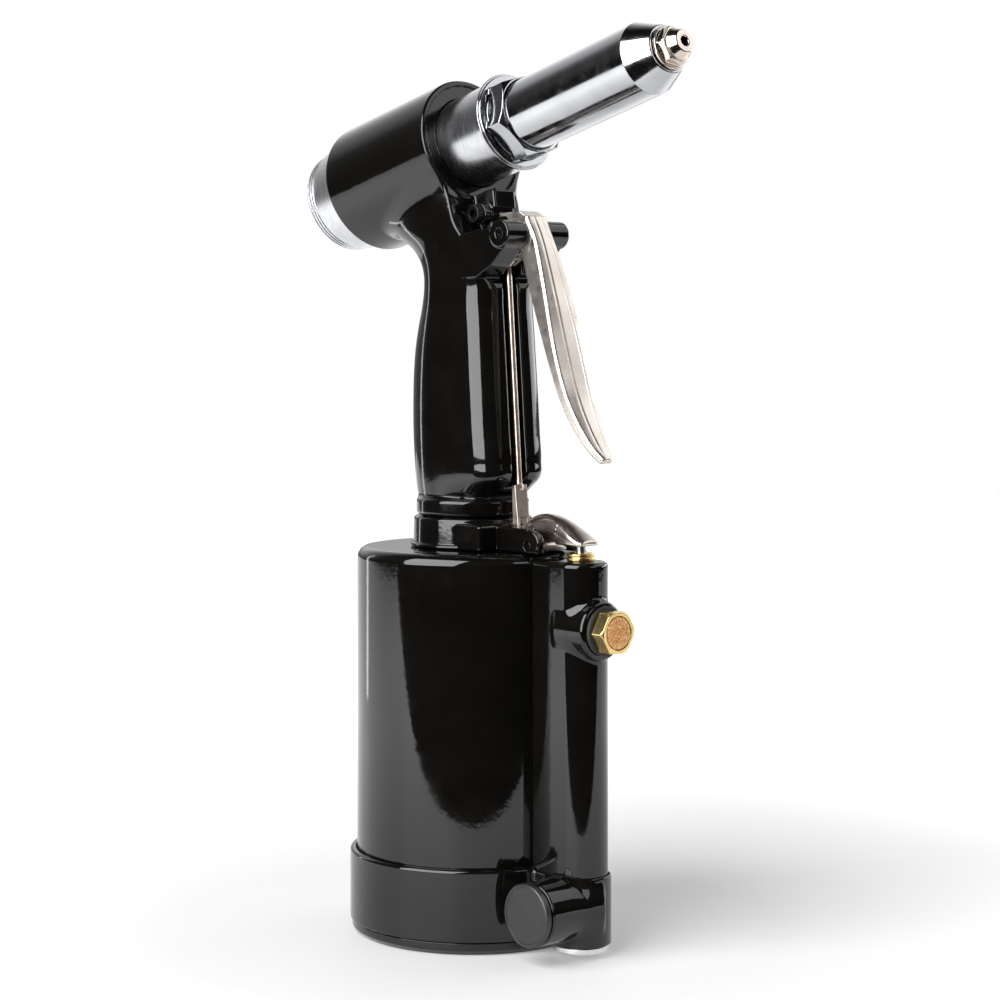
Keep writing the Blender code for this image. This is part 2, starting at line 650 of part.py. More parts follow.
def trigger_section(index):
    """Channel-shaped ring across the trigger, open towards the grip."""
    x, z, half, depth = TRIGGER_LINE[index]
    before = TRIGGER_LINE[max(index - 1, 0)]
    after = TRIGGER_LINE[min(index + 1, len(TRIGGER_LINE) - 1)]
    way = Vector((after[0] - before[0], 0, after[1] - before[1])).normalized()
    inward = Vector((way.z, 0, -way.x))
    side = half - 0.9
    wall = min(TRIGGER_WALL, half * 0.45)
    outer = [(half, depth), (half, 1.2), (side, 0.2), (half * 0.35, -0.3)]
    inner = [(half - wall, depth), (half - wall, wall + 0.4)]
    right = outer + [(-y, d) for y, d in reversed(outer)]
    loop = right + [(-y, d) for y, d in inner] + list(reversed(inner))
    return [tuple(Vector((x, y, z)) + inward * d) for y, d in loop]


def build_trigger():
    trigger = loft("trigger", [trigger_section(i) for i in range(len(TRIGGER_LINE))])
    x, z = TRIGGER_PIVOT
    hub = plate("tool", [
        (20.3, 275.3), (20.6, 277.2), (32.0, 277.5), (36.3, 275.4), (39.0, 268.0), (37.8, 262.0),
        (33.0, 262.6), (29.0, 265.5), (26.6, 271.5), (24.5, 275.3),
    ], -4.9, 4.9)
    arm = plate("tool", [
        (34.0, 262.6), (30.5, 272.5), (24.5, 268.5), (18.6, 261.8), (17.6, 259.2), (18.9, 257.2),
        (21.4, 256.8), (26.0, 259.6),
    ], -3.2, 3.2)
    join(trigger, hub, arm)
    cut(trigger, box("tool", 10, 24.6, -1.9, 1.9, 240, 264.5))
    cut(trigger, rod("tool", 1.8 + GAP, -30, 30, along_minus_y(x, 0, z), TINY))
    link = along_minus_y(LINK_TOP[0], 0, LINK_TOP[1])
    cut(trigger, rod("tool", 1.2 + 0.05, -30, 30, link, TINY))
    finish(trigger, NICKEL, 1.0, 0.22, (x, 0, z))
    pin = rod("trigger_pin", 1.8, -15.4, 15.4, along_minus_y(x, 0, z), TINY)
    finish(pin, STEEL, 1.0, 0.3)
    link_pin = rod("upper_link_pin", 1.2, -3.0, 3.0, link, TINY)
    finish(link_pin, STEEL, 1.0, 0.3, (x, 0, z))


# ------------------------------------------------------------------------ head

def build_front():
    collar = lathe("front_collar", [
        (9.1, -12.0), (19.0, -12.0), (19.0, -9.3), (COLLAR_R, -9.3), (COLLAR_R, 24.1),
        (11.6, 24.1), (11.6, -2.0), (9.1, -2.0),
    ], HEAD, HEAD_SIDES)
    finish(collar, STEEL, 1.0, 0.12)
    nut = chamfered_hex("barrel_nut", 29.6, 25.6, 35.0, 0.2, UPRIGHT, radians(12))
    join(nut, lathe("tool", [(0, FLANGE_AT), (FLANGE_R, FLANGE_AT), (FLANGE_R, FLANGE_AT + 1.2),
                             (FLANGE_R - 0.7, 26.4), (0, 26.4)], sides=HEAD_SIDES))
    cut(nut, lathe("tool", [(0, 20), (15.8, 20), (15.8, 27.3), (BARREL_R + GAP, 27.3),
                            (BARREL_R + GAP, 40), (0, 40)], sides=HEAD_SIDES))
    finish(nut, CHROME, 1.0, 0.1, frame=HEAD)
    barrel = lathe("nose_barrel", [
        (11.6, FLANGE_AT + 0.1), (15.5, FLANGE_AT + 0.1), (15.5, 27.0), (BARREL_R, 27.0),
        (BARREL_R, BARREL_END), (BARREL_R - 0.5, BARREL_END + 1.3), (CONE_END_R, CONE_END),
        (7.1, CONE_END), (7.1, 96.0), (11.6, 96.0),
    ], HEAD, HEAD_SIDES)
    finish(barrel, CHROME, 1.0, 0.08)
    nose = chamfered_hex("nosepiece", 13.0, 109.4, 113.6, 0.4, UPRIGHT, radians(20))
    join(nose, lathe("tool", [
        (0, 84.0), (3.6, 84.0), (4.2, 86.0), (4.2, 95.0), (6.8, 97.0), (6.8, CONE_END + GAP),
        (8.2, CONE_END + GAP), (8.2, 110.0), (5.9, 110.4), (5.9, 113.2),
        (TIP_R + 0.5, TIP_AT - 1.4), (TIP_R, TIP_AT), (0, TIP_AT),
    ], sides=SMALL))
    cut(nose, rod("tool", 1.9, 80, 120, sides=TINY))
    finish(nose, NICKEL, 1.0, 0.2, frame=HEAD)


def build_rear():
    cap = lathe("rear_cap", [
        (4.9, -66.0), (4.9, -57.0), (10.0, -56.0), (19.0, -56.0), (19.0, -61.1 - 0.6),
        (22.6, -61.7), (22.9, -64.5), (21.6, -66.5), (21.6, -74.5), (20.4, -75.6), (20.4, -79.6),
        (18.45, REAR_END), (14.5, REAR_END), (14.0, -70.0), (8.0, -66.0),
    ], HEAD, HEAD_SIDES)
    finish(cap, ALUMINIUM, 1.0, 0.3)
    guide = tube("mandrel_tube", 4.6, 3.4, -80.0, 10.0, HEAD, SMALL)
    finish(guide, STEEL, 1.0, 0.25)


def build_draw_unit():
    origin = head_point(-13.0)
    piston = lathe("draw_piston", [
        (4.95, -25.0), (18.4, -25.0), (19.0, -24.4), (19.0, -21.0), (16.2, -21.0), (16.2, -17.0),
        (19.0, -17.0), (19.0, -13.0), (9.0, -13.0), (9.0, 30.0), (4.95, 30.0),
    ], HEAD, HEAD_SIDES)
    finish(piston, STEEL, 1.0, 0.2, origin)
    seal = tube("draw_piston_seal", 19.12, 16.5, -20.7, -17.3, HEAD, HEAD_SIDES)
    finish(seal, RED_RUBBER, 0.0, 0.5, origin)
    case = lathe("jaw_case", [
        (9.3, 22.0), (11.2, 22.0), (11.2, 89.2), (10.4, 90.0), (5.2, 90.0), (5.3, 88.0),
        (8.8, 66.0), (8.8, 31.5), (9.3, 31.0),
    ], HEAD, SMALL)
    finish(case, STEEL, 1.0, 0.2, origin)
    rod_seal = tube("rod_seal", 11.3, 9.12, -1.7, 1.5, HEAD, HEAD_SIDES)
    finish(rod_seal, RED_RUBBER, 0.0, 0.5)
    washer = tube("seal_retainer", 11.3, 9.3, 1.8, 4.0, HEAD, HEAD_SIDES)
    finish(washer, STEEL, 1.0, 0.3)
    back = coil("return_spring", 13.5, 1.3, -55.6, -25.3, 5, HEAD)
    finish(back, STEEL, 1.0, 0.3, origin)
    pusher = lathe("jaw_pusher", [
        (3.0, 58.0), (8.4, 58.0), (8.4, 64.3), (7.2, 64.6), (7.2, 69.7), (3.0, 69.7),
    ], HEAD, SMALL)
    finish(pusher, STEEL, 1.0, 0.25, origin)
    push_spring = coil("jaw_spring", 6.6, 0.8, 31.6, 57.7, 6, HEAD)
    finish(push_spring, STEEL, 1.0, 0.3, origin)
    for index in range(3):
        build_jaw(index, origin)


def build_jaw(index, origin):
    """One third of a split cone, in the head's frame."""
    middle = 2 * pi * index / 3
    spread = radians(52)
    sections = []
    for station, outer in ((70.0, 7.75), (83.5, 5.6)):
        ring = [(outer, middle + spread * (i / 3 - 1)) for i in range(7)]
        ring += [(2.6, middle + spread * 0.8 * (1 - i / 2)) for i in range(5)]
        sections.append([(r * cos(a), r * sin(a), station) for r, a in ring])
    jaw = loft("jaw_%d" % (index + 1), sections, HEAD)
    finish(jaw, STEEL, 1.0, 0.35, origin)


def main():
    clear_file()
    build_can()
    build_valve_housing()
    build_base_cap()
    build_bottom()
    build_inlet_plug()
    build_muffler()
    build_valve()
    build_power_unit()
    build_bracket()
    build_rocker()
    build_trigger_rod()
    build_grip()
    build_oil_screw()
    build_trigger()
    build_front()
    build_rear()
    build_draw_unit()


main()
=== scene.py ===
"""Looks of the air-hydraulic rivet gun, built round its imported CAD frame.

Shapes are worked out in millimetres and turned into metres when their mesh is made.
Castings, forgings and hexagons are level surfaces of distance fields, which gives
them the fillets of the real pieces. Turned pieces are outlines swept about an axis.
"""
import json
from math import cos, pi, radians, sin, sqrt, tan

import bpy
import numpy as np
from mathutils import Matrix, Vector


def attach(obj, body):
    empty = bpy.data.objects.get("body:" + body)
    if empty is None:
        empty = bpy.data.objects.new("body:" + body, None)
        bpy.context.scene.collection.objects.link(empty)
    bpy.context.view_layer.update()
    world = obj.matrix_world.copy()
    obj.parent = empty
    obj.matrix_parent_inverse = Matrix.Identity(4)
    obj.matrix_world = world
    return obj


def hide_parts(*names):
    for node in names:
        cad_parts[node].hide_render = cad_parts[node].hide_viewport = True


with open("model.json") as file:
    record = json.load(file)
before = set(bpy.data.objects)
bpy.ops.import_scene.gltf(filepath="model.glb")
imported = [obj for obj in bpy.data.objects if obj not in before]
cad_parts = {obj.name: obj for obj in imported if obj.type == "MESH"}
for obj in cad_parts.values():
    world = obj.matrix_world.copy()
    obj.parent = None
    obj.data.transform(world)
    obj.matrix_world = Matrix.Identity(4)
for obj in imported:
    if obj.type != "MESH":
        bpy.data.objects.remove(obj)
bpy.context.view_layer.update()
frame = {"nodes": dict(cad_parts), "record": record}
BODY_OF = {node: body for body, nodes in frame["record"]["behaviour"]["bodies"].items()
           for node in nodes}

MM = 0.001
GAP = 0.3

# Air cylinder, base and valve column
CAN_R = 45.0
CAN_BORE_R = 41.8
CAN_TOP = 148.5
CAN_BOTTOM = 12.3
CAP_R = 47.7
CAP_BOTTOM = 5.0
CAP_TOP = 32.0
COLUMN_X = 60.4
COLUMN_HALF = 10.1
COLUMN_TOP = 146.5
COLUMN_BOTTOM = 27.3
FOOT_HALF = 11.3
INLET_Z = 19.1
INLET_R = 11.7
INLET_END = -24.9
MUFFLER_Z = 121.5
MUFFLER_BOSS_R = 11.0
MUFFLER_BOSS_END = 72.5
GRAINS = 120
GOLDEN_ANGLE = 2.39996

# Collar, neck and grip
COLLAR_BOTTOM = 148.8
COLLAR_TOP = 160.5
NECK_R = 21.9
NECK_TOP = 167.6
SPIGOT_R = 15.0
WIDE_HALF = 20.0
EAR_OUT = 11.3
EAR_IN = 7.9
ROD_LEAN = radians(4.35)
CHANNEL_HALF = 3.5
WEB_HALF = 5.6
OIL_SCREW = (13.4, 276.8)
LUG_OUT = 16.0
LUG_IN = 5.4
BOSS_R = 5.3
GUSSET_INSET = 0.12
GUSSET_TAPER = 0.12
GRIP_MIDDLE = -2.0

# Head
HEAD_TILT = radians(14.5)
HEAD_Z = 305.6
BODY_REAR = -61.4
BODY_R = 26.0
CHAMBER_R = 19.3
RECESS_DEPTH = 0.8
COLLAR_R = 17.8
FLANGE_AT = 24.4
FLANGE_R = 19.2
BARREL_R = 13.85
BARREL_END = 97.5
CONE_END = 108.5
CONE_END_R = 9.26
TIP_AT = 117.2
TIP_R = 4.34
NUT_TURN = radians(43)
REAR_END = -82.5

# Pivots, as (x, z)
TRIGGER_PIVOT = (32.5, 268.6)
LINK_TOP = (20.3, 259.6)
LINK_BOTTOM = (28.0, 155.6)
ROCKER_PIVOT = (43.1, 151.5)
TRIGGER_PIN_R = 1.8
ROCKER_PIN_R = 1.5
LINK_PIN_R = 1.2
LINK_PIN_HALF = 3.0
LINK_HOLE_R = 1.25
FORK_HOLE_R = 1.55
LUG_HOLE_R = 1.85
HOLE_PLAY = 0.3

# Oil way from the grip up into the head: where it starts and where it runs, as (x, z)
OIL_WAY_START = (1.0, 257.0)
OIL_WAY_RUN = (-20.0, 35.0)
OIL_WAY_LENGTH = 40.3

# Grip sections: height, rear x, half-width, front x, front half-width, corner radius
GRIP_SECTIONS = [
    (165.0, -22.6, 17.9, 17.5, 14.0, 8.0),
    (168.0, -24.2, 18.1, 18.5, 15.0, 8.5),
    (171.0, -25.0, 18.3, 21.5, 15.8, 9.0),
    (175.0, -25.7, 18.5, 26.3, 16.6, 10.0),
    (182.0, -26.6, 18.7, 27.0, 16.9, 10.0),
    (192.0, -27.4, 18.8, 26.2, 17.0, 10.0),
    (206.0, -27.6, 18.8, 25.2, 17.0, 10.0),
    (218.0, -27.2, 18.5, 24.3, 16.9, 10.0),
    (226.0, -26.1, 18.3, 23.7, 16.8, 10.0),
    (234.0, -24.0, 18.0, 23.1, 16.7, 10.0),
    (242.0, -21.2, 17.7, 22.4, 16.6, 10.0),
    (249.0, -19.8, 17.6, 21.9, 16.6, 9.0),
    (254.0, -20.0, 17.7, 19.5, 16.8, 5.0),
    (258.0, -21.7, 17.9, 17.0, 17.0, 2.2),
    (262.0, -25.0, 18.3, 15.4, 17.2, 2.5),
    (265.5, -30.1, 18.8, 14.0, 17.4, 1.2),
    (268.5, -37.0, 19.2, 12.8, 17.7, 1.2),
    (272.5, -44.0, 19.6, 10.0, 18.0, 1.2),
    (284.0, -46.0, 19.8, 6.0, 18.5, 1.2),
    (296.0, -44.0, 19.8, 0.0, 18.5, 1.2),
]

# Front line of the trigger: x, z, half-width, cheek depth
TRIGGER_LINE = [
    (36.4, 275.6, 5.0, 8.5), (39.8, 270.0, 5.1, 10.2), (43.2, 262.5, 5.6, 9.6),
    (48.8, 247.5, 7.0, 8.8), (53.9, 232.4, 8.3, 7.0), (57.8, 220.0, 8.6, 5.8),
    (62.0, 207.5, 7.9, 5.0), (66.9, 197.0, 6.4, 4.3), (71.6, 189.2, 4.6, 3.4),
    (75.4, 184.4, 2.6, 2.6),
]

# Top line of the rocker: x, top height, half-width
ROCKER_LINE = [
    (32.2, 158.0, 3.6), (34.5, 160.8, 4.4), (38.0, 162.5, 4.9), (42.0, 163.2, 5.0),
    (46.0, 163.1, 5.0), (50.5, 162.2, 5.2), (55.0, 160.4, 5.5), (59.5, 157.8, 5.7),
    (63.0, 155.6, 5.3), (65.6, 154.2, 4.4),
]

UPRIGHT = Matrix.Identity(4)
HEAD = Matrix.Translation((0, 0, HEAD_Z)) @ Matrix.Rotation(pi / 2 - HEAD_TILT, 4, "Y")


def along_x(x, y, z):
    """Frame whose Z axis points along world +X."""
    return Matrix.Translation((x, y, z)) @ Matrix.Rotation(pi / 2, 4, "Y")


def along_minus_y(x, y, z):
    """Frame whose Z axis points along world -Y."""
    return Matrix.Translation((x, y, z)) @ Matrix.Rotation(pi / 2, 4, "X")


# ---- distance fields

def union(a, b, fillet=0.0):
    """Two shapes joined, with a fillet in the inner corner between them."""
    u = np.maximum(fillet - a, 0)
    v = np.maximum(fillet - b, 0)
    return np.maximum(fillet, np.minimum(a, b)) - np.hypot(u, v)


def common(a, b, fillet=0.0):
    """What two shapes share, with its new edge rounded."""
    return -union(-a, -b, fillet)


def minus(a, b, fillet=0.0):
    """The first shape without the second, with the new edge rounded."""
    return common(a, -b, fillet)


def outline(px, py, points):
    """Signed distance to a closed outline in a plane."""
    nearest = np.inf
    inside = False
    for (x0, y0), (x1, y1) in zip(points, points[1:] + points[:1]):
        ex, ey = x1 - x0, y1 - y0
        t = np.clip(((px - x0) * ex + (py - y0) * ey) / (ex * ex + ey * ey), 0, 1)
        nearest = np.minimum(nearest, (px - x0 - ex * t) ** 2 + (py - y0 - ey * t) ** 2)
        if y0 != y1:
            inside = inside ^ (((y0 > py) != (y1 > py)) & (px < ex * (py - y0) / ey + x0))
    return np.where(inside, -1, 1) * np.sqrt(nearest)


def convex(px, py, points, fillet=0.0):
    """Convex outline with rounded corners."""
    area = sum(x0 * y1 - x1 * y0 for (x0, y0), (x1, y1) in zip(points, points[1:] + points[:1]))
    turn = 1 if area > 0 else -1
    field = -1e3
    for (x0, y0), (x1, y1) in zip(points, points[1:] + points[:1]):
        length = sqrt((x1 - x0) ** 2 + (y1 - y0) ** 2) * turn
        side = ((px - x0) * (y1 - y0) - (py - y0) * (x1 - x0)) / length
        field = common(field, side, fillet)
    return field


def hexagon(px, py, across_flats, turn, fillet=0.0):
    """Six-sided outline with softened corners."""
    field = -1e3
    for i in range(6):
        angle = turn + pi / 6 + i * pi / 3
        field = common(field, px * cos(angle) + py * sin(angle) - across_flats / 2, fillet)
    return field


def curve(at, places, values):
    """Smooth curve through values at rising places."""
    places = np.asarray(places, float)
    values = np.asarray(values, float)
    slope = np.gradient(values, places)
    at = np.clip(at, places[0], places[-1])
    i = np.clip(np.searchsorted(places, at) - 1, 0, len(places) - 2)
    width = places[i + 1] - places[i]
    t = (at - places[i]) / width
    rise = t * t * (3 - 2 * t)
    start = values[i] * (1 - rise) + values[i + 1] * rise
    return start + width * t * (1 - t) * (slope[i] * (1 - t) - slope[i + 1] * t)


def head_axes(x, z):
    """Distance along the head's axis, and above it in the head's own frame."""
    c, s = cos(HEAD_TILT), sin(HEAD_TILT)
    return x * c + (z - HEAD_Z) * s, (z - HEAD_Z) * c - x * s


def between(value, low, high):
    """Slab from low to high."""
    return np.maximum(low - value, value - high)


def around(x, z, spot):
    """Distance from an axis that crosses the tool at a spot (x, z)."""
    return np.hypot(x - spot[0], z - spot[1])


# ---- meshes

def slope_of(field, points, reach=0.04):
    """Value and gradient of a field at scattered points."""
    here = field(*points.T)
    steps = []
    for axis in range(3):
        ahead = points.copy()
        behind = points.copy()
        ahead[:, axis] += reach
        behind[:, axis] -= reach
        steps.append((field(*ahead.T) - field(*behind.T)) / (2 * reach))
    return here, np.stack(steps, 1)


def settle(field, points, step):
    """Move points onto a field's level surface; returns them with their normals."""
    for _ in range(3):
        value, slope = slope_of(field, points)
        size = np.maximum((slope ** 2).sum(1), 0.05)
        points = points - slope * np.clip(value / size, -step, step)[:, None]
    slope = slope_of(field, points)[1]
    return points, slope / np.maximum(np.linalg.norm(slope, axis=1), 1e-9)[:, None]


def level_surface(field, low, high, step):
    """Points and quads of a field's zero level, by surface nets on a regular grid."""
    axes = [np.arange(a - 1.5 * step, b + 2.5 * step, step) for a, b in zip(low, high)]
    shape = tuple(len(a) for a in axes)
    grid = field(axes[0][:, None, None], axes[1][None, :, None], axes[2][None, None, :])
    grid = np.broadcast_to(grid, shape)
    origin = np.array([a[0] for a in axes])
    cells = []
    crossings = []
    flips = []
    for axis in range(3):
        before = np.moveaxis(grid, axis, 0)[:-1]
        after = np.moveaxis(grid, axis, 0)[1:]
        found = np.argwhere((before < 0) != (after < 0))
        values = before[tuple(found.T)]
        share = values / (values - after[tuple(found.T)])
        order = [1, 2]
        order.insert(axis, 0)
        index = found[:, order]
        place = index.astype(float)
        place[:, axis] += share
        one, two = [(1, 2), (2, 0), (0, 1)][axis]
        corners = []
        for a, b in ((0, 0), (-1, 0), (-1, -1), (0, -1)):
            cell = index.copy()
            cell[:, one] += a
            cell[:, two] += b
            corners.append(np.ravel_multi_index(tuple(cell.T), shape))
        cells.append(np.stack(corners, 1))
        crossings.append(place)
        flips.append(values >= 0)
    cells = np.concatenate(cells)
    place = np.repeat(np.concatenate(crossings), 4, axis=0)
    quads = np.unique(cells, return_inverse=True)[1].reshape(-1, 4)
    count = np.bincount(quads.ravel())
    points = np.stack([np.bincount(quads.ravel(), place[:, i]) / count for i in range(3)], 1)
    backward = np.concatenate(flips)
    quads[backward] = quads[backward][:, ::-1]
    return points * step + origin, quads


def show(node, finish, points, faces, normals, place):
    """Piece in place of its CAD node, on the same body; points are in millimetres."""
    matrix = np.array(place)
    points = points @ matrix[:3, :3].T + matrix[:3, 3]
    normals = normals @ matrix[:3, :3].T
    mesh = bpy.data.meshes.new(node + "_skin")
    mesh.from_pydata((points * MM).tolist(), [], faces)
    mesh.shade_smooth()
    mesh.normals_split_custom_set_from_vertices(normals.tolist())
    piece = bpy.data.objects.new(node + "_skin", mesh)
    bpy.context.scene.collection.objects.link(piece)
    mesh.materials.append(finish)
    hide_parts(node)
    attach(piece, BODY_OF[node])


def thinned(points, quads, keep):
    """Fewer triangles where the surface is plain."""
    mesh = bpy.data.meshes.new("dense")
    mesh.from_pydata(points.tolist(), [], quads.tolist())
    dense = bpy.data.objects.new("dense", mesh)
    bpy.context.scene.collection.objects.link(dense)
    dense.modifiers.new("thin", "DECIMATE").ratio = keep
    ready = dense.evaluated_get(bpy.context.evaluated_depsgraph_get())
    result = bpy.data.meshes.new_from_object(ready)
    points = np.empty(len(result.vertices) * 3)
    result.vertices.foreach_get("co", points)
    faces = [tuple(polygon.vertices) for polygon in result.polygons]
    bpy.data.objects.remove(dense)
    bpy.data.meshes.remove(result)
    return points.reshape(-1, 3), faces


def sculpted(node, finish, field, low, high, step, keep=0.4, place=UPRIGHT):
    """Piece whose skin is a field's zero level."""
    points, quads = level_surface(field, low, high, step)
    points = settle(field, points, step)[0]
    points, faces = thinned(points, quads, keep)
    points, normals = settle(field, points, step / 2)
    show(node, finish, points, faces, normals, place)


def rounded_outline(corners, steps=4):
    """Points and normals of a closed (radius, height, fillet) outline with its corners rounded."""
    spots = [np.array(c[:2], float) for c in corners]
    area = sum(a[0] * b[1] - b[0] * a[1] for a, b in zip(spots, spots[1:] + spots[:1]))
    if area < 0:
        return rounded_outline(corners[::-1], steps)
    result = []
    for i, corner in enumerate(corners):
        here = spots[i]
        before = spots[i - 1] - here
        after = spots[(i + 1) % len(spots)] - here
        if here[0] == 0:
            tip = -1 if (after if after[0] == 0 else before)[1] > 0 else 1
            result.append((here, np.array([0.0, tip])))
            continue
        before_length, after_length = np.linalg.norm(before), np.linalg.norm(after)
        before, after = before / before_length, after / after_length
        half = np.arccos(np.clip(before @ after, -1, 1)) / 2
        reach = min(corner[2] / tan(half), before_length * 0.49, after_length * 0.49)
        start_normal = np.array([-before[1], before[0]])
        end_normal = np.array([after[1], -after[0]])
        radius = reach * tan(half)
        if before[1] * after[0] < before[0] * after[1]:
            radius = -radius
        centre = here + before * reach - start_normal * radius
        for j in range(steps + 1):
            normal = start_normal * (1 - j / steps) + end_normal * (j / steps)
            normal /= np.linalg.norm(normal)
            result.append((centre + normal * radius, normal))
    return result


def turned(node, finish, corners, place=UPRIGHT, sides=96, knurl=None):
    """Piece swept from an outline; knurl is (teeth, depth, lowest, highest)."""
    points = []
    normals = []
    rings = []
    for (radius, height), (out, up) in rounded_outline(corners):
        ring = []
        for i in range(sides if radius > 0 else 1):
            angle = 2 * pi * i / sides
            reach = radius
            if knurl and knurl[2] <= height <= knurl[3] and out > 0.5:
                reach -= knurl[1] * (0.5 - 0.5 * cos(knurl[0] * angle))
            ring.append(len(points))
            points.append((reach * cos(angle), reach * sin(angle), height))
            normals.append((out * cos(angle), out * sin(angle), up))
        rings.append(ring)
    faces = []
    for ring, following in zip(rings, rings[1:] + rings[:1]):
        if len(ring) == 1 and len(following) == 1:
            continue
        for i in range(sides):
            j = i + 1
            corner = [ring[i % len(ring)], ring[j % len(ring)]]
            corner += [following[j % len(following)], following[i % len(following)]]
            faces.append(list(dict.fromkeys(corner)))
    show(node, finish, np.array(points), faces, np.array(normals), place)


def plain_pin(node, finish, spot, radius, half, bevel):
    """Round pin across the tool."""
    turned(node, finish, [
        (0, -half, 0), (radius, -half, bevel), (radius, half, bevel), (0, half, 0),
    ], along_minus_y(spot[0], 0, spot[1]), 32)


# ---- materials

def blank(name, colour, metallic, roughness):
    """Principled material with even values; returns its tree and shader too."""
    material = bpy.data.materials.new(name)
    material.use_nodes = True
    tree = material.node_tree
    shader = tree.nodes["Principled BSDF"]
    shader.inputs["Base Color"].default_value = (*colour, 1)
    shader.inputs["Metallic"].default_value = metallic
    shader.inputs["Roughness"].default_value = roughness
    return material, tree, shader


def position(tree, stretch=(1, 1, 1), tilt=0.0):
    """Place on the object in millimetres, stretched along its axes."""
    spot = tree.nodes.new("ShaderNodeTexCoord")
    mapping = tree.nodes.new("ShaderNodeMapping")
    mapping.inputs["Rotation"].default_value = (0, tilt, 0)
    mapping.inputs["Scale"].default_value = [1000 * s for s in stretch]
    tree.links.new(spot.outputs["Object"], mapping.inputs["Vector"])
    return mapping.outputs["Vector"]


def noise(tree, where, scale, detail=3.0):
    """Soft noise; scale is in waves per millimetre."""
    node = tree.nodes.new("ShaderNodeTexNoise")
    node.inputs["Scale"].default_value = scale
    node.inputs["Detail"].default_value = detail
    tree.links.new(where, node.inputs["Vector"])
    return node.outputs["Fac"]


def scaled(tree, value, low, high, start=0.3, end=0.7):
    """A pattern's value turned into a range."""
    node = tree.nodes.new("ShaderNodeMapRange")
    node.inputs["From Min"].default_value = start
    node.inputs["From Max"].default_value = end
    node.inputs["To Min"].default_value = low
    node.inputs["To Max"].default_value = high
    tree.links.new(value, node.inputs["Value"])
    return node.outputs["Result"]


def blended(tree, value, first, second):
    """A pattern's value turned into a colour between two."""
    node = tree.nodes.new("ShaderNodeMix")
    node.data_type = "RGBA"
    node.inputs["A"].default_value = (*first, 1)
    node.inputs["B"].default_value = (*second, 1)
    tree.links.new(value, node.inputs["Factor"])
    return node.outputs["Result"]


def vary(tree, shader, tone, colours, rough, low, high, start=0.3, end=0.7):
    """Let one pattern mix the shader's two colours and another set its roughness."""
    mixed = blended(tree, scaled(tree, tone, 0, 1, start, end), *colours)
    tree.links.new(mixed, shader.inputs["Base Color"])
    tree.links.new(scaled(tree, rough, low, high), shader.inputs["Roughness"])


def darker(colour, share):
    return tuple(c * share for c in colour)


def relief(tree, shader, *layers):
    """Stack bumps; each layer is (height socket, depth in millimetres)."""
    before = None
    for height, depth in layers:
        node = tree.nodes.new("ShaderNodeBump")
        node.inputs["Strength"].default_value = 1.0
        node.inputs["Distance"].default_value = depth * MM
        tree.links.new(height, node.inputs["Height"])
        if before:
            tree.links.new(before, node.inputs["Normal"])
        before = node.outputs["Normal"]
    tree.links.new(before, shader.inputs["Normal"])


def black_paint(name, peel=0.016, roughness=0.05):
    """Gloss black enamel: orange peel in two sizes, warm-black tone, dust-dull patches."""
    material, tree, shader = blank(name, (0.005, 0.005, 0.005), 0.0, roughness)
    shader.inputs["IOR"].default_value = 1.52
    where = position(tree)
    vary(tree, shader, noise(tree, where, 0.06),
         ((0.0026, 0.0024, 0.0021), (0.0042, 0.0038, 0.0033)),
         noise(tree, where, 0.12, 6), roughness * 0.6, roughness * 1.6)
    relief(tree, shader, (noise(tree, where, 0.30, 2), peel), (noise(tree, where, 0.9, 2), peel / 5))
    return material


def polished(name, colour, roughness, tilt=0.0, turning=0.0006):
    """Plated or polished metal with fine turning lines and faint smudges."""
    material, tree, shader = blank(name, colour, 1.0, roughness)
    where = position(tree, (1, 1, 1), tilt)
    lines = position(tree, (9, 0.15, 0.15), tilt)
    vary(tree, shader, noise(tree, where, 0.09), (colour, darker(colour, 0.86)),
         noise(tree, where, 0.25, 5), roughness * 0.7, roughness * 1.6)
    relief(tree, shader, (noise(tree, lines, 1.0, 3), turning))
    return material


def cast_nickel(name, colour, stain, roughness, grain=0.003):
    """Plated forging: faint waves and pebbles under the plating, warmer and duller in patches."""
    material, tree, shader = blank(name, colour, 1.0, roughness)
    where = position(tree)
    vary(tree, shader, noise(tree, where, 0.10, 3), (colour, stain),
         noise(tree, where, 0.25, 3), roughness * 0.88, roughness * 1.15, 0.35, 0.75)
    relief(tree, shader, (noise(tree, where, 0.14, 2), grain * 4), (noise(tree, where, 2.2, 3), grain))
    return material


def satin(name, colour, roughness, stretch=(1, 1, 1), tilt=0.0, depth=0.004):
    """Machined metal with tool lines across its axis."""
    material, tree, shader = blank(name, colour, 1.0, roughness)
    where = position(tree, (1, 1, 1), tilt)
    lines = position(tree, stretch, tilt)
    vary(tree, shader, noise(tree, where, 0.3, 5), (colour, darker(colour, 0.88)),
         noise(tree, lines, 1.0, 4), roughness * 0.85, roughness * 1.2)
    relief(tree, shader, (noise(tree, lines, 1.0, 3), depth))
    return material


def sintered(name):
    """Bronze grains: coppery tops, darker gaps."""
    material, tree, shader = blank(name, (0.80, 0.44, 0.19), 1.0, 0.4)
    where = position(tree)
    vary(tree, shader, noise(tree, where, 1.5, 4), ((0.92, 0.56, 0.26), (0.62, 0.30, 0.12)),
         noise(tree, where, 2.0), 0.28, 0.5, 0.35, 0.65)
    relief(tree, shader, (noise(tree, where, 3.0, 3), 0.02))
    return material


def rubber(name, colour, roughness=0.55):
    """Moulded rubber or plastic with a fine even grain."""
    material, tree, shader = blank(name, colour, 0.0, roughness)
    where = position(tree)
    vary(tree, shader, noise(tree, where, 0.4, 5), (colour, darker(colour, 0.7)),
         noise(tree, where, 1.5), roughness * 0.85, roughness * 1.15)
    relief(tree, shader, (noise(tree, where, 3.0, 4), 0.01))
    return material


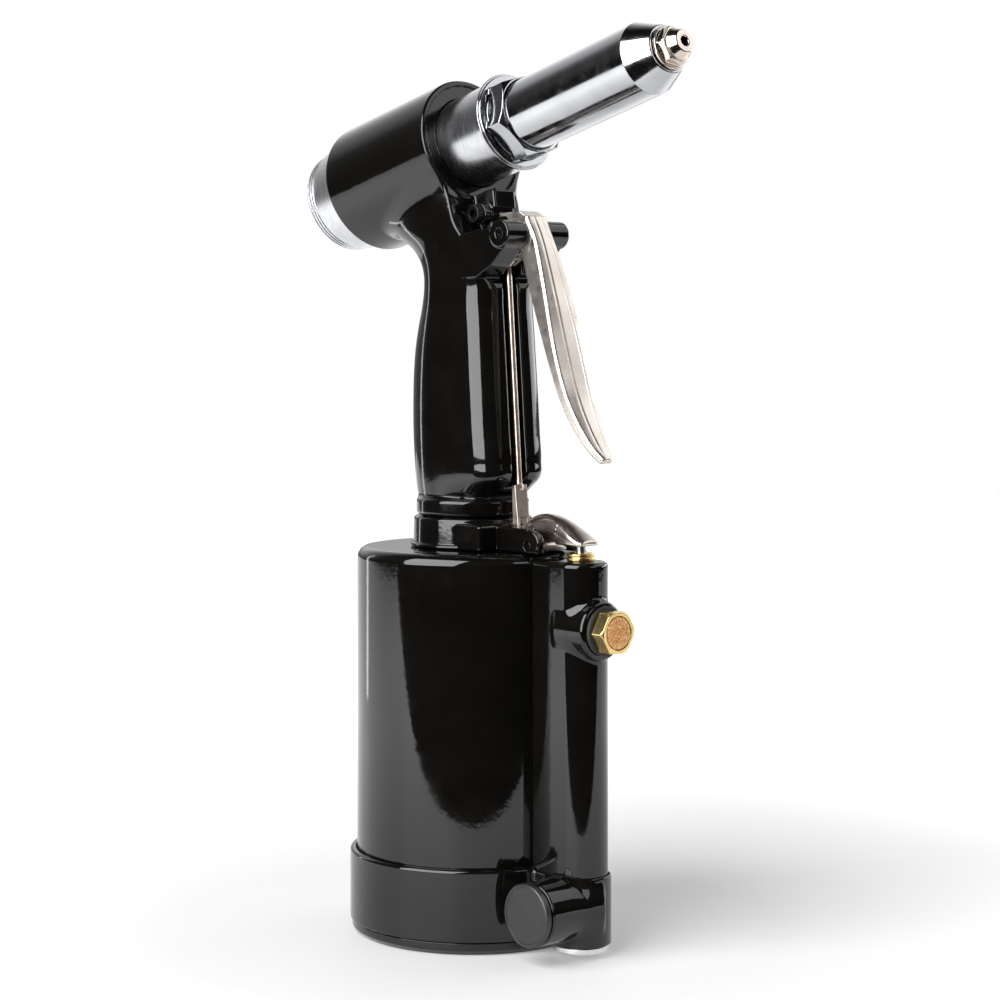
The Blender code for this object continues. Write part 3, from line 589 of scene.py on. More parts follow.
PAINT = black_paint("gloss_black_paint")
PAINT_CAST = black_paint("gloss_black_paint_on_casting", 0.022, 0.07)
CHROME = polished("polished_chrome", (0.52, 0.53, 0.55), 0.11, -HEAD_TILT)
COLLAR_STEEL = satin("polished_steel", (0.56, 0.57, 0.59), 0.24, (6, 0.15, 0.15), -HEAD_TILT, 0.0006)
TRIGGER_NICKEL = cast_nickel("trigger_nickel", (0.74, 0.69, 0.64), (0.64, 0.57, 0.51), 0.30, 0.0003)
ROCKER_NICKEL = cast_nickel("rocker_nickel", (0.68, 0.62, 0.56), (0.46, 0.39, 0.34), 0.24, 0.001)
ROD_STEEL = satin("rod_steel", (0.60, 0.50, 0.43), 0.30, (4, 4, 0.25), 0.0, 0.008)
NOSE_NICKEL = cast_nickel("nose_nickel", (0.70, 0.63, 0.57), (0.58, 0.50, 0.43), 0.14, 0.001)
ALUMINIUM = satin("turned_aluminium", (0.66, 0.67, 0.69), 0.30, (7, 0.2, 0.2), -HEAD_TILT, 0.0012)
PLATE_ALUMINIUM = satin("flat_aluminium", (0.80, 0.80, 0.81), 0.30, (0.3, 0.3, 5))
BRASS = cast_nickel("yellow_brass", (0.86, 0.66, 0.30), (0.76, 0.54, 0.21), 0.22, 0.001)
BRONZE = sintered("sintered_bronze")
PIN_STEEL = satin("pin_steel", (0.42, 0.41, 0.40), 0.30, (1, 5, 1))
BLACK_OXIDE = satin("black_oxide_steel", (0.035, 0.034, 0.033), 0.28, (3, 3, 3), 0.0, 0.008)
INNER_STEEL = satin("ground_steel", (0.58, 0.58, 0.59), 0.22, (0.3, 0.3, 5))
INNER_HEAD_STEEL = satin("ground_steel_head", (0.58, 0.58, 0.59), 0.22, (5, 0.3, 0.3), -HEAD_TILT)
SPRING_STEEL = satin("spring_steel", (0.40, 0.40, 0.42), 0.28, (2, 2, 2), 0.0, 0.005)
PLUG_PLASTIC = rubber("dark_plug", (0.022, 0.021, 0.020), 0.34)
BLACK_RUBBER = rubber("black_rubber", (0.018, 0.018, 0.018), 0.55)
RED_RUBBER = rubber("red_seal_rubber", (0.30, 0.045, 0.03), 0.50)


# ---- air cylinder and base

def make_can():
    turned("air_cylinder", PAINT, [
        (CAN_BORE_R, CAN_BOTTOM, 0.2), (CAN_R, CAN_BOTTOM, 0.4), (CAN_R, CAN_TOP, 4.2),
        (SPIGOT_R + GAP, CAN_TOP, 0.3), (SPIGOT_R + GAP, CAN_TOP - 3.5, 0.3),
        (CAN_BORE_R, CAN_TOP - 3.5, 0.5),
    ], sides=160)


def stadium(x, side, half, start):
    """Plan shape: square at its start, half-round about the column's axis."""
    round_end = np.hypot(np.maximum(x - COLUMN_X, 0), side) - half
    return np.maximum(round_end, start - x)


def column(x, y, z):
    side = np.abs(y)
    solid = common(stadium(x, side, COLUMN_HALF, 40.0), between(z, COLUMN_BOTTOM, COLUMN_TOP), 2.0)
    across = np.hypot(y, z - MUFFLER_Z)
    boss = common(across - MUFFLER_BOSS_R, between(x, 56.0, MUFFLER_BOSS_END), 1.5)
    solid = union(solid, boss, 1.6)
    solid = minus(solid, np.hypot(x, y) - CAN_R - GAP, 1.2)
    bore = np.hypot(x - COLUMN_X, y)
    solid = minus(solid, common(bore - 6.0, between(z, 20, 141)))
    solid = minus(solid, common(bore - 4.9, between(z, 130, 160)), 0.4)
    return minus(solid, common(across - 5.0, between(x, 60.0, 90.0)))


def make_column():
    sculpted("valve_housing", PAINT, column, (42.0, -11.5, 27.0), (73.0, 11.5, 147.0), 0.5)


def base(x, y, z):
    side = np.abs(y)
    reach = np.hypot(x, y)
    cap = common(common(reach - CAP_R, z - CAP_TOP, 1.4), CAP_BOTTOM - z, 0.5)
    foot = common(stadium(x, side, FOOT_HALF, 42.0), z - CAP_TOP + 0.5, 1.8)
    foot = common(foot, CAP_BOTTOM - z, 0.5)
    flare = 1.6 * np.clip((y + 14.0) / 14.0, 0, 1) ** 2
    inlet = common(np.hypot(x - COLUMN_X, z - INLET_Z) - INLET_R - flare,
                   between(y, INLET_END, 0), 0.8)
    solid = union(union(cap, foot, 1.5), common(inlet, CAP_BOTTOM - z, 0.3), 2.5)
    solid = minus(solid, common(reach - CAN_R - GAP, 12.0 - z), 0.4)
    solid = minus(solid, common(reach - 41.0, z - 8.5), 0.3)
    pocket = np.maximum(stadium(x, side, COLUMN_HALF + GAP, 43.0), COLUMN_BOTTOM - GAP - z)
    solid = minus(solid, pocket, 0.8)
    solid = minus(solid, np.hypot(x - COLUMN_X, y) - 7.0)
    port = np.maximum(np.hypot(x - COLUMN_X, z - INLET_Z) - 6.5, y)
    return minus(solid, port, 0.4)


def make_base():
    sculpted("base_cap", PAINT, base, (-48.0, -48.0, 4.5), (72.5, 48.0, 32.5), 0.62)
    turned("bottom_cover", PAINT, [
        (0, 0, 0), (CAP_R - 3.0, 0, 1.2), (CAP_R - 0.7, 2.0, 1.4), (CAP_R - 0.7, 4.7, 0.25),
        (40.7, 4.7, 0.2), (40.7, 7.5, 0.3), (0, 7.5, 0),
    ], sides=160)
    place = Matrix.Translation((COLUMN_X, 0, 0))
    turned("bottom_plug", PLATE_ALUMINIUM, [
        (0, 2.0, 0), (9.0, 2.0, 0.3), (10.4, 2.7, 0.4), (10.4, 4.7, 0.25), (6.7, 4.7, 0.2),
        (6.7, 11.0, 0.3), (4.5, 11.0, 0.2), (4.5, 26.5, 0.3), (3.2, 26.5, 0.2), (3.2, 8.0, 0.3),
        (0, 8.0, 0),
    ], place)


def make_inlet_plug():
    turned("inlet_plug", PLUG_PLASTIC, [
        (0, 12.0, 0), (6.2, 12.0, 0.3), (6.2, 25.2, 0.1), (9.8, 25.2, 0.15), (9.8, 25.7, 0.1),
        (11.6, 25.7, 0.25), (11.6, 27.9, 0.25), (10.9, 28.3, 0.2), (10.3, 28.3, 0.1),
        (10.1, 28.0, 0.1), (0, 28.0, 0),
    ], along_minus_y(COLUMN_X, 0, INLET_Z), 288, (72, 0.28, 25.7, 28.1))


# ---- muffler and valve

def muffler_hex(x, y, z):
    across = np.hypot(x, y)
    hexagonal = hexagon(x, y, 15.2, radians(30), 0.5)
    cone = (across + (z - 80.4) * 0.577 - 8.0) * 0.86
    solid = common(common(hexagonal, cone, 0.15), between(z, 74.6, 80.4), 0.25)
    solid = union(solid, common(across - 4.6, between(z, 63.0, 76.0), 0.3), 0.2)
    solid = minus(solid, common(across - 6.3, 78.4 - z), 0.2)
    return minus(solid, across - 3.0, 0.2)


def grains():
    """Places and radii of the sintered grains: a jittered spiral over the disc's face."""
    seeded = np.random.default_rng(7)
    spots = []
    for i in range(GRAINS):
        reach = 5.5 * sqrt((i + 0.5) / GRAINS)
        angle = i * GOLDEN_ANGLE + seeded.normal(0, 0.12)
        spots.append((reach * cos(angle), reach * sin(angle),
                      80.25 + seeded.normal(0, 0.08), 0.46 + seeded.normal(0, 0.05)))
    return spots


def make_muffler():
    place = along_x(0, 0, MUFFLER_Z)
    turned("muffler_washer", BLACK_RUBBER, [
        (5.0, 72.8, 0.1), (9.3, 72.8, 0.3), (9.3, 74.3, 0.3), (5.0, 74.3, 0.1),
    ], place, 64)
    sculpted("muffler_body", BRASS, muffler_hex, (-8.9, -8.9, 62.8), (8.9, 8.9, 80.6), 0.24,
             0.35, place)
    spots = grains()

    def disc(x, y, z):
        solid = common(np.hypot(x, y) - 6.0, between(z, 78.7, 80.3), 0.2)
        for gx, gy, gz, radius in spots:
            grain = np.sqrt((x - gx) ** 2 + (y - gy) ** 2 + (z - gz) ** 2) - radius
            solid = union(solid, grain, 0.06)
        return solid

    sculpted("muffler_disc", BRONZE, disc, (-6.1, -6.1, 78.6), (6.1, 6.1, 80.9), 0.13, 0.4, place)


def make_valve():
    place = Matrix.Translation((COLUMN_X, 0, 0))
    turned("valve_cap", BRASS, [
        (2.1, 134, 0.2), (4.6, 134, 0.2), (4.6, 146.6, 0.1), (5.2, 146.8, 0.3), (5.2, 148.0, 0.4),
        (4.4, 148.2, 0.15), (5.2, 148.4, 0.4), (5.2, 149.2, 0.35), (4.3, 149.6, 0.3),
        (2.1, 149.6, 0.2),
    ], place, 64)
    turned("valve_stem", INNER_STEEL, [
        (0, 95.3, 0), (1.8, 95.3, 0.2), (1.8, 152.2, 0.5), (1.0, 152.6, 0.3), (0, 152.6, 0),
    ], place, 40)


# ---- collar, rocker and rod

def bracket(x, y, z):
    side = np.abs(y)
    reach = np.hypot(x, y)
    taper = 22.9 + 0.35 * np.clip((COLLAR_TOP - z) / 12.0, 0, 1)
    ring = common(reach - taper, between(z, COLLAR_BOTTOM, COLLAR_TOP - 0.3), 0.9)
    lip = common(reach - 24.2, between(z, COLLAR_BOTTOM, 150.1), 0.5)
    solid = union(ring, lip, 0.5)
    block = np.maximum(convex(x, side, [(5, -30), (25.4, -30), (26.3, WIDE_HALF),
                                        (5, WIDE_HALF)], 1.4), 20.5 - reach)
    block = common(block, between(z, COLLAR_BOTTOM, 158.3), 0.9)
    solid = union(solid, block, 0.5)
    round_end = np.hypot((x - 43.6) / 1.18, z - 152.6) - 4.9
    ear = np.minimum(common(between(x, 25.0, 43.6), z - 158.0), round_end)
    ear = np.minimum(ear, common(between(x, 25.0, 48.7), z - 152.0))
    ear = common(common(ear, COLLAR_BOTTOM - z, 0.4), between(side, EAR_IN, EAR_OUT), 0.7)
    solid = union(solid, ear, 0.6)
    solid = minus(solid, reach - 19.3)
    slot = np.maximum(np.maximum(25.0 - x, side - EAR_IN), x - 40.0)
    solid = minus(solid, slot, 0.3)
    return minus(solid, around(x, z, ROCKER_PIVOT) - (ROCKER_PIN_R + HOLE_PLAY), 0.3)


def make_bracket():
    sculpted("rocker_bracket", PAINT_CAST, bracket, (-24.5, -24.5, 148.6), (49.8, 24.5, 160.5), 0.42)
    plain_pin("rocker_pin", BLACK_OXIDE, ROCKER_PIVOT, ROCKER_PIN_R, 10.9, 0.3)


def rocker(x, y, z):
    side = np.abs(y)
    places = [row[0] for row in ROCKER_LINE]
    top = curve(x, places, [row[1] for row in ROCKER_LINE])
    half = curve(x, places, [row[2] for row in ROCKER_LINE])
    floor = np.where(x < 40, 154.4, np.where(x < 52, 153.2, 152.3))
    floor = np.minimum(floor, top - 0.8)
    middle = floor + 0.35 * (top - floor)
    rise = np.maximum(z - middle, 0) / (0.65 * (top - floor))
    k = np.hypot(rise, side / half)
    steep = np.hypot(rise / (0.65 * (top - floor)), side / half ** 2)
    dome = (k - 1) * (k + 1e-6) / (steep + 1e-6 / half)
    body = common(common(dome, floor - z, 0.8), between(x, 32.2, 65.6), 0.8)
    hub = common(around(x, z, ROCKER_PIVOT) - 2.65, side - 7.6, 0.3)
    web = common(convex(x, z, [(40.6, 151.0), (45.6, 151.0), (47.2, 156.0), (39.0, 156.0)], 0.5),
                 side - 4.5, 0.5)
    arm = common(outline(x, z, [
        (25.9, 154.0), (28.6, 152.9), (38.0, 151.0), (42.4, 150.4), (42.4, 156.5), (35.0, 159.3),
        (31.0, 158.2), (26.4, 157.7), (25.5, 156.0),
    ]), side - 1.6, 0.35)
    solid = union(union(union(body, web, 0.6), hub, 0.5), arm, 0.8)
    solid = minus(solid, around(x, z, ROCKER_PIVOT) - (ROCKER_PIN_R + HOLE_PLAY), 0.2)
    return minus(solid, around(x, z, LINK_BOTTOM) - LINK_HOLE_R, 0.15)


def make_rocker():
    sculpted("rocker", ROCKER_NICKEL, rocker, (25.2, -7.8, 148.6), (65.8, 7.8, 163.4), 0.3, 0.35)
    plain_pin("lower_link_pin", PIN_STEEL, LINK_BOTTOM, LINK_PIN_R, LINK_PIN_HALF, 0.25)


def trigger_rod(x, y, z):
    (tx, tz), (bx, bz) = LINK_TOP, LINK_BOTTOM
    side = np.abs(y)
    length = sqrt((bx - tx) ** 2 + (bz - tz) ** 2)
    ux, uz = (bx - tx) / length, (bz - tz) / length
    down = (x - tx) * ux + (z - tz) * uz
    out = (x - tx) * uz - (z - tz) * ux
    shaft = common(np.hypot(out, y) - 1.25, between(down, 2.0, length - 16.0), 0.2)
    eye = common(around(x, z, LINK_TOP) - 2.7, side - 1.5, 0.3)
    fork = common(outline(x, z, [
        (25.75, 173.2), (27.75, 173.4), (29.6, 157.5), (30.0, 155.4), (29.2, 153.9), (27.4, 153.7),
        (26.3, 155.0), (26.2, 157.0),
    ]), side - 3.1, 0.35)
    solid = union(union(shaft, eye, 0.6), fork, 0.5)
    solid = minus(solid, np.maximum(np.maximum(side - 1.9, z - 161.0), 140 - z), 0.15)
    solid = minus(solid, around(x, z, LINK_TOP) - (LINK_PIN_R + HOLE_PLAY), 0.15)
    return minus(solid, around(x, z, LINK_BOTTOM) - FORK_HOLE_R, 0.15)


def make_trigger_rod():
    sculpted("trigger_rod", ROD_STEEL, trigger_rod, (17.4, -3.2, 153.5), (30.2, 3.2, 262.5), 0.26, 0.3)


# ---- grip and head casting

def grip_rows(z):
    """The grip's section at a height: rear x, half-width, front x, front half-width, corner."""
    heights = [row[0] for row in GRIP_SECTIONS]
    return [curve(z, heights, [row[i] for row in GRIP_SECTIONS]) for i in range(1, 6)]


def flank(x, rows):
    """Half-width of the handle at x, narrowing towards its front."""
    half, front, nose, corner = rows[1:]
    forward = np.clip((x - GRIP_MIDDLE) / (front - corner - GRIP_MIDDLE), 0, 1)
    return half - (half - nose) * forward ** 1.2


def handle(x, side, z):
    """Egg-shaped sections: elliptical rear, flat front with rounded corners."""
    rows = grip_rows(z)
    rear, front, corner = rows[0], rows[2], rows[4]
    half = flank(x, rows)
    back = np.minimum(x - GRIP_MIDDLE, 0)
    deep = GRIP_MIDDLE - rear
    k = np.hypot(back / deep, side / half)
    steep = np.hypot(back / deep ** 2, side / half ** 2)
    shell = (k - 1) * (k + 1e-6) / (steep + 1e-6 / half)
    return common(shell, x - front, corner)


def lugs(x, side, z):
    """Two bosses for the trigger's pin, each on a gusset that runs on from the handle's side."""
    boss = common(around(x, z, TRIGGER_PIVOT) - BOSS_R, between(side, LUG_IN - 0.5, LUG_OUT), 0.6)
    plan = convex(x, z, [(4.0, 262.0), (4.0, 269.6), (20.0, 270.4), (30.5, 272.6), (34.0, 268.0),
                         (36.0, 265.4), (27.5, 256.5), (20.0, 252.0), (13.0, 252.0)], 0.5)
    rows = grip_rows(z)
    face = flank(x, rows) - GUSSET_TAPER * np.maximum(x - rows[2], 0)
    gusset = common(plan, np.maximum(side - face + GUSSET_INSET, LUG_IN - 1.0 - side), 0.4)
    return union(boss, gusset, 0.5)


def channel(x, side, z):
    """Front groove that the trigger rod runs in."""
    def wall(height):
        return 27.0 - (height - 182.0) * tan(ROD_LEAN) - 6.3

    region = outline(x, z, [(40, 140), (40, 266.5), (14.2, 266.5), (13.6, 255.5), (wall(250), 250),
                            (wall(176), 176), (22.5, 170), (22.5, 140)])
    return common(region, side - CHANNEL_HALF)


def casting_body(x, y, z):
    """Head, grip and neck before the bores."""
    side = np.abs(y)
    along, up = head_axes(x, z)
    reach = np.hypot(up, y)
    middle = np.hypot(x, y)
    radius = BODY_R - 0.6 * (along - BODY_REAR) / -BODY_REAR
    head = common(reach - radius, between(along, BODY_REAR, 0), 0.9)
    grip = common(handle(x, side, z), between(z, 165.0, 296.0), 0.5)
    solid = union(head, grip, 4.0)
    neck = common(middle - NECK_R, between(z, COLLAR_TOP, NECK_TOP), 1.8)
    solid = union(solid, neck, 1.2)
    solid = union(solid, np.maximum(middle - 19.0, between(z, COLLAR_BOTTOM, 163.0)))
    solid = union(solid, np.maximum(middle - SPIGOT_R, between(z, 141.0, 163.0)))
    web = common(outline(x, z, [
        (-2, 262), (16.0, 262), (17.0, 268), (17.6, 273.5), (18.0, 279.0), (19.2, 279.3),
        (18.3, 285.5), (20.2, 290.5), (20.2, 298), (0, 298),
    ]), side - WEB_HALF, 1.0)
    solid = union(solid, web, 1.5)
    boss = common(around(x, z, OIL_SCREW) - 4.2, between(y, -9.0, -2.0), 0.5)
    solid = union(solid, boss, 0.8)
    solid = minus(solid, channel(x, side, z), 1.3)
    return union(solid, lugs(x, side, z), 0.3)


def oil_way(x, y, z):
    """Slanting drilling that takes the oil from the grip to the draw piston."""
    dx, dz = x - OIL_WAY_START[0], z - OIL_WAY_START[1]
    run_x, run_z = OIL_WAY_RUN
    length = sqrt(run_x ** 2 + run_z ** 2)
    rise = (dx * run_x + dz * run_z) / length
    off = (dx * run_z - dz * run_x) / length
    return np.maximum(np.hypot(off, y) - 3.5, between(rise, 0.0, OIL_WAY_LENGTH))


def casting(x, y, z):
    """The casting with the trigger's slot, its holes and its bores."""
    side = np.abs(y)
    along, up = head_axes(x, z)
    reach = np.hypot(up, y)
    middle = np.hypot(x, y)
    solid = casting_body(x, y, z)
    solid = minus(solid, around(x, z, TRIGGER_PIVOT) - LUG_HOLE_R, 0.3)
    slot = np.maximum(np.maximum(23.3 - x, side - LUG_IN), between(z, 240, 274.9))
    solid = minus(solid, slot, 0.4)
    solid = minus(solid, np.maximum(reach - 23.2, -RECESS_DEPTH - along), 0.15)
    bore = np.maximum(reach - COLLAR_R - GAP, between(along, -9.0, 40.0))
    bore = union(bore, np.maximum(reach - CHAMBER_R, between(along, -70.0, -8.0)))
    solid = minus(solid, bore, 0.3)
    solid = minus(solid, np.maximum(middle - 11.3, between(z, 120, 164)))
    solid = minus(solid, np.maximum(middle - 7.6, between(z, 120, 262)))
    solid = minus(solid, oil_way(x, y, z))
    screw_hole = np.maximum(around(x, z, OIL_SCREW) - 2.8, between(y, -20.0, -4.0))
    return minus(solid, screw_hole, 0.2)


def make_casting():
    sculpted("grip_body", PAINT_CAST, casting, (-66.5, -26.5, 140.8), (38.0, 26.5, 331.0), 0.5, 0.3)


def screw(x, y, z):
    across = np.hypot(x, y)
    teeth = 0.10 * np.cos(24 * np.arctan2(y, x)) * np.clip((z - 9.5) / 0.5, 0, 1)
    head = common(across - 3.6 - teeth, between(z, 9.3, 12.3), 0.5)
    solid = union(head, common(across - 2.5, between(z, 5.0, 10.0), 0.3))
    return minus(solid, common(hexagon(x, y, 3.0, 0.2, 0.1), 10.2 - z), 0.15)


def make_screw():
    sculpted("oil_screw", BLACK_OXIDE, screw, (-3.9, -3.9, 4.9), (3.9, 3.9, 12.4), 0.18, 0.3,
             along_minus_y(OIL_SCREW[0], 0, OIL_SCREW[1]))


# ---- trigger

def trigger_rows():
    """The trigger's front line, made smooth: x, z, half-width, cheek depth."""
    places = np.arange(len(TRIGGER_LINE))
    fine = np.linspace(0, len(TRIGGER_LINE) - 1, 55)
    return np.stack([curve(fine, places, [row[i] for row in TRIGGER_LINE]) for i in range(4)], 1)


def trigger_lever(x, side, z, rows):
    """Channel-shaped lever with three facets down its front."""
    nearest = np.full(np.broadcast(x, z).shape, np.inf)
    depth = np.zeros(nearest.shape)
    half = np.zeros(nearest.shape)
    cheek = np.zeros(nearest.shape)
    for start, end in zip(rows[:-1], rows[1:]):
        ex, ez = end[0] - start[0], end[1] - start[1]
        length = sqrt(ex * ex + ez * ez)
        share = np.clip(((x - start[0]) * ex + (z - start[1]) * ez) / length ** 2, 0, 1)
        gap = (x - start[0] - ex * share) ** 2 + (z - start[1] - ez * share) ** 2
        closer = gap < nearest
        nearest = np.where(closer, gap, nearest)
        behind = (x - start[0]) * ez / length - (z - start[1]) * ex / length
        depth = np.where(closer, behind, depth)
        half = np.where(closer, start[2] + (end[2] - start[2]) * share, half)
        cheek = np.where(closer, start[3] + (end[3] - start[3]) * share, cheek)
    first, last = rows[0], rows[-1]
    top = (z - first[1]) * 0.83 - (x - first[0]) * 0.55
    foot = (last[1] - z) * 0.78 + (x - last[0]) * 0.62
    beyond = side - 0.38 * half
    slant = 0.13 * (beyond + np.sqrt(beyond ** 2 + 0.1))
    groove = 0.26 * np.exp(-(beyond / 0.5) ** 2) * np.clip((half - 3.0) / 2.0, 0, 1)
    front = (slant + groove - 0.3 - depth) * 0.94
    solid = common(common(front, side - half, 1.1), depth - cheek, 0.7)
    solid = common(solid, np.maximum(top, foot), 0.9)
    wall = np.minimum(1.9, half * 0.45)
    trough = common(side - half + wall, 2.3 - depth, 1.2)
    return minus(solid, trough, 0.6)


def make_trigger():
    rows = trigger_rows()

    def lever(x, y, z):
        side = np.abs(y)
        solid = trigger_lever(x, side, z, rows)
        hub = common(outline(x, z, [
            (20.3, 275.3), (20.6, 277.2), (32.0, 277.5), (36.3, 275.4), (39.0, 268.0), (37.8, 262.0),
            (33.0, 262.6), (29.0, 265.5), (26.6, 271.5), (24.5, 275.3),
        ]), side - 4.9, 0.7)
        arm = common(outline(x, z, [
            (34.0, 262.6), (30.5, 272.5), (24.5, 268.5), (18.6, 261.8), (17.6, 259.2), (18.9, 257.2),
            (21.4, 256.8), (26.0, 259.6),
        ]), side - 3.2, 0.5)
        solid = union(union(solid, hub, 1.2), arm, 0.8)
        slot = np.maximum(np.maximum(side - 1.9, x - 24.6), between(z, 240, 264.5))
        solid = minus(solid, slot, 0.3)
        solid = minus(solid, around(x, z, TRIGGER_PIVOT) - (TRIGGER_PIN_R + HOLE_PLAY), 0.3)
        return minus(solid, around(x, z, LINK_TOP) - LINK_HOLE_R, 0.15)

    sculpted("trigger", TRIGGER_NICKEL, lever, (17.2, -9.0, 181.5), (77.0, 9.0, 278.2), 0.38, 0.5)
    turned("trigger_pin", BLACK_OXIDE, [
        (0, -15.4, 0), (TRIGGER_PIN_R, -15.4, 0.35), (TRIGGER_PIN_R, 15.4, 0.35),
        (1.0, 15.4, 0.1), (1.0, 14.6, 0.1), (0, 14.6, 0),
    ], along_minus_y(TRIGGER_PIVOT[0], 0, TRIGGER_PIVOT[1]), 40)
    plain_pin("upper_link_pin", PIN_STEEL, LINK_TOP, LINK_PIN_R, LINK_PIN_HALF, 0.25)


# ---- head

def flanged_hex(x, y, z):
    across = np.hypot(x, y)
    hexagonal = hexagon(x, y, 29.6, NUT_TURN, 0.3)
    cone = (across + (z - 35.0) * 1.2 - 15.0) * 0.64
    nut = common(common(hexagonal, cone, 0.15), between(z, 25.6, 35.0), 0.3)
    flange = common(across - FLANGE_R, between(z, FLANGE_AT, 25.4), 0.3)
    step = common(across - FLANGE_R + 0.8, between(z, FLANGE_AT, 26.1), 0.25)
    solid = union(nut, union(flange, step, 0.1), 0.3)
    solid = minus(solid, np.maximum(across - 15.8, z - 27.3))
    return minus(solid, across - BARREL_R - GAP, 0.3)


def make_front():
    turned("front_collar", COLLAR_STEEL, [
        (9.1, -12, 0.2), (19.0, -12, 0.2), (19.0, -9.3, 0.2), (COLLAR_R, -9.3, 0.1),
        (COLLAR_R, 24.1, 0.6), (11.6, 24.1, 0.3), (11.6, -2.0, 0.3), (9.1, -2.0, 0.2),
    ], HEAD, 128)
    sculpted("barrel_nut", CHROME, flanged_hex, (-19.4, -19.4, 24.2), (19.4, 19.4, 35.2), 0.28,
             0.35, HEAD)
    turned("nose_barrel", CHROME, [
        (11.6, FLANGE_AT + 0.1, 0.2), (15.5, FLANGE_AT + 0.1, 0.2), (15.5, 27.0, 0.2),
        (BARREL_R, 27.0, 0.2), (BARREL_R, BARREL_END + 0.8, 0.7), (CONE_END_R, CONE_END, 0.7),
        (7.1, CONE_END, 0.2), (7.1, 96.0, 0.2), (11.6, 96.0, 0.2),
    ], HEAD, 128)
    make_nosepiece()


def nosepiece(x, y, z):
    across = np.hypot(x, y)
    stub = common(across - 6.8, between(z, 96.0, 109.5))
    solid = union(stub, common(across - 4.2, between(z, 84.0, 97.0), 0.3))
    collar = common(across - 8.2, between(z, CONE_END + GAP, 110.2), 0.4)
    hexagonal = hexagon(x, y, 13.0, radians(20), 0.3)
    chamfer = (across + (z - 113.6) * 0.577 - 7.0) * 0.86
    nut = common(common(hexagonal, chamfer, 0.2), between(z, 109.4, 113.6), 0.2)
    cone = (across - (TIP_R + (TIP_AT - z) * 0.52)) * 0.88
    tip = common(common(cone, across - 5.9), between(z, 113.0, TIP_AT), 0.35)
    solid = union(union(union(solid, collar, 0.1), nut, 0.3), tip, 0.3)
    return minus(solid, across - 1.9, 0.5)


def make_nosepiece():
    sculpted("nosepiece", NOSE_NICKEL, nosepiece, (-8.5, -8.5, 83.8), (8.5, 8.5, 117.4), 0.26, 0.35, HEAD)


def make_rear():
    corners = [
        (4.9, -66.0, 0.2), (4.9, -57.0, 0.2), (10.0, -56.0, 0.3), (19.0, -56.0, 0.3),
        (19.0, -61.7, 0.1), (22.4, -61.7, 0.3), (22.4, -63.0, 0.4), (21.9, -63.4, 0.3),
        (21.6, -74.4, 0.4), (20.7, -75.2, 0.3),
    ]
    for i in range(3):
        groove = -76.6 - 1.5 * i
        corners += [(20.6, groove, 0.12), (20.2, groove - 0.25, 0.12), (20.2, groove - 0.5, 0.12),
                    (20.6, groove - 0.75, 0.12)]
    corners += [
        (20.3, -81.0, 0.4), (18.45, REAR_END, 0.8), (14.5, REAR_END, 0.5), (14.0, -70.0, 0.8),
        (8.0, -66.0, 0.5),
    ]
    turned("rear_cap", ALUMINIUM, corners, HEAD, 128)
    turned("mandrel_tube", INNER_HEAD_STEEL, [
        (3.4, -80.0, 0.3), (4.6, -80.0, 0.3), (4.6, 10.0, 0.3), (3.4, 10.0, 0.3),
    ], HEAD, 64)


# ---- inner pieces, as packed

INNER = {
    "valve_spool": BRASS, "valve_spring": SPRING_STEEL, "air_piston": PLATE_ALUMINIUM,
    "air_piston_seal": BLACK_RUBBER, "ram": INNER_STEEL, "ram_nut": PIN_STEEL,
    "neck_nut": PIN_STEEL, "ram_gland": BRASS, "ram_seal": RED_RUBBER,
    "piston_cushion": BLACK_RUBBER, "draw_piston": INNER_HEAD_STEEL,
    "draw_piston_seal": RED_RUBBER, "jaw_case": INNER_HEAD_STEEL, "rod_seal": RED_RUBBER,
    "seal_retainer": INNER_HEAD_STEEL, "return_spring": SPRING_STEEL,
    "jaw_pusher": INNER_HEAD_STEEL, "jaw_spring": SPRING_STEEL, "jaw_1": PIN_STEEL,
    "jaw_2": PIN_STEEL, "jaw_3": PIN_STEEL,
}


def dress_inner_pieces():
    for node, finish in INNER.items():
        frame["nodes"][node].data.materials.clear()
        frame["nodes"][node].data.materials.append(finish)


# ---- floor, light and camera

# The camera stands at the photograph's angle, in metres and radians
EYE = (0.7045, -0.6264, 0.2307)
EYE_TURN = radians(48.36)
FOCAL_LENGTH = 86.99
LENS_SHIFT = (0.02729, -0.1657)
TABLE_FRONT = 0.28
TABLE_BACK = 2.5
TABLE_SIDE = 1.45
TABLE_GLOW = (0.20, 0.85)
TABLE_GLOW_FROM = 120
TABLE_GLOW_TO = 560
LIGHT_AIM = 0.33

# Lights: name, azimuth, elevation, distance, width, height, radiance
LIGHTS = [
    ("main_left", -85, 22, 1.1, 1.22, 1.36, 6.6),
    ("right", 80, 3, 1.2, 1.1, 0.32, 3.6),
    ("upper_right", 60, 34, 1.2, 1.2, 0.72, 1.4),
    ("right_front", 12, 14, 1.2, 0.5, 0.34, 2.0),
    ("strip_left", -166, -12, 0.55, 0.035, 0.4, 3.2),
]


def make_camera():
    lens = bpy.data.cameras.new("camera")
    lens.sensor_width = 36
    lens.lens = FOCAL_LENGTH
    lens.shift_x, lens.shift_y = LENS_SHIFT
    lens.clip_start = 0.01
    camera = bpy.data.objects.new("camera", lens)
    camera.location = EYE
    camera.rotation_euler = (pi / 2, 0, EYE_TURN)
    bpy.context.scene.collection.objects.link(camera)
    bpy.context.scene.camera = camera


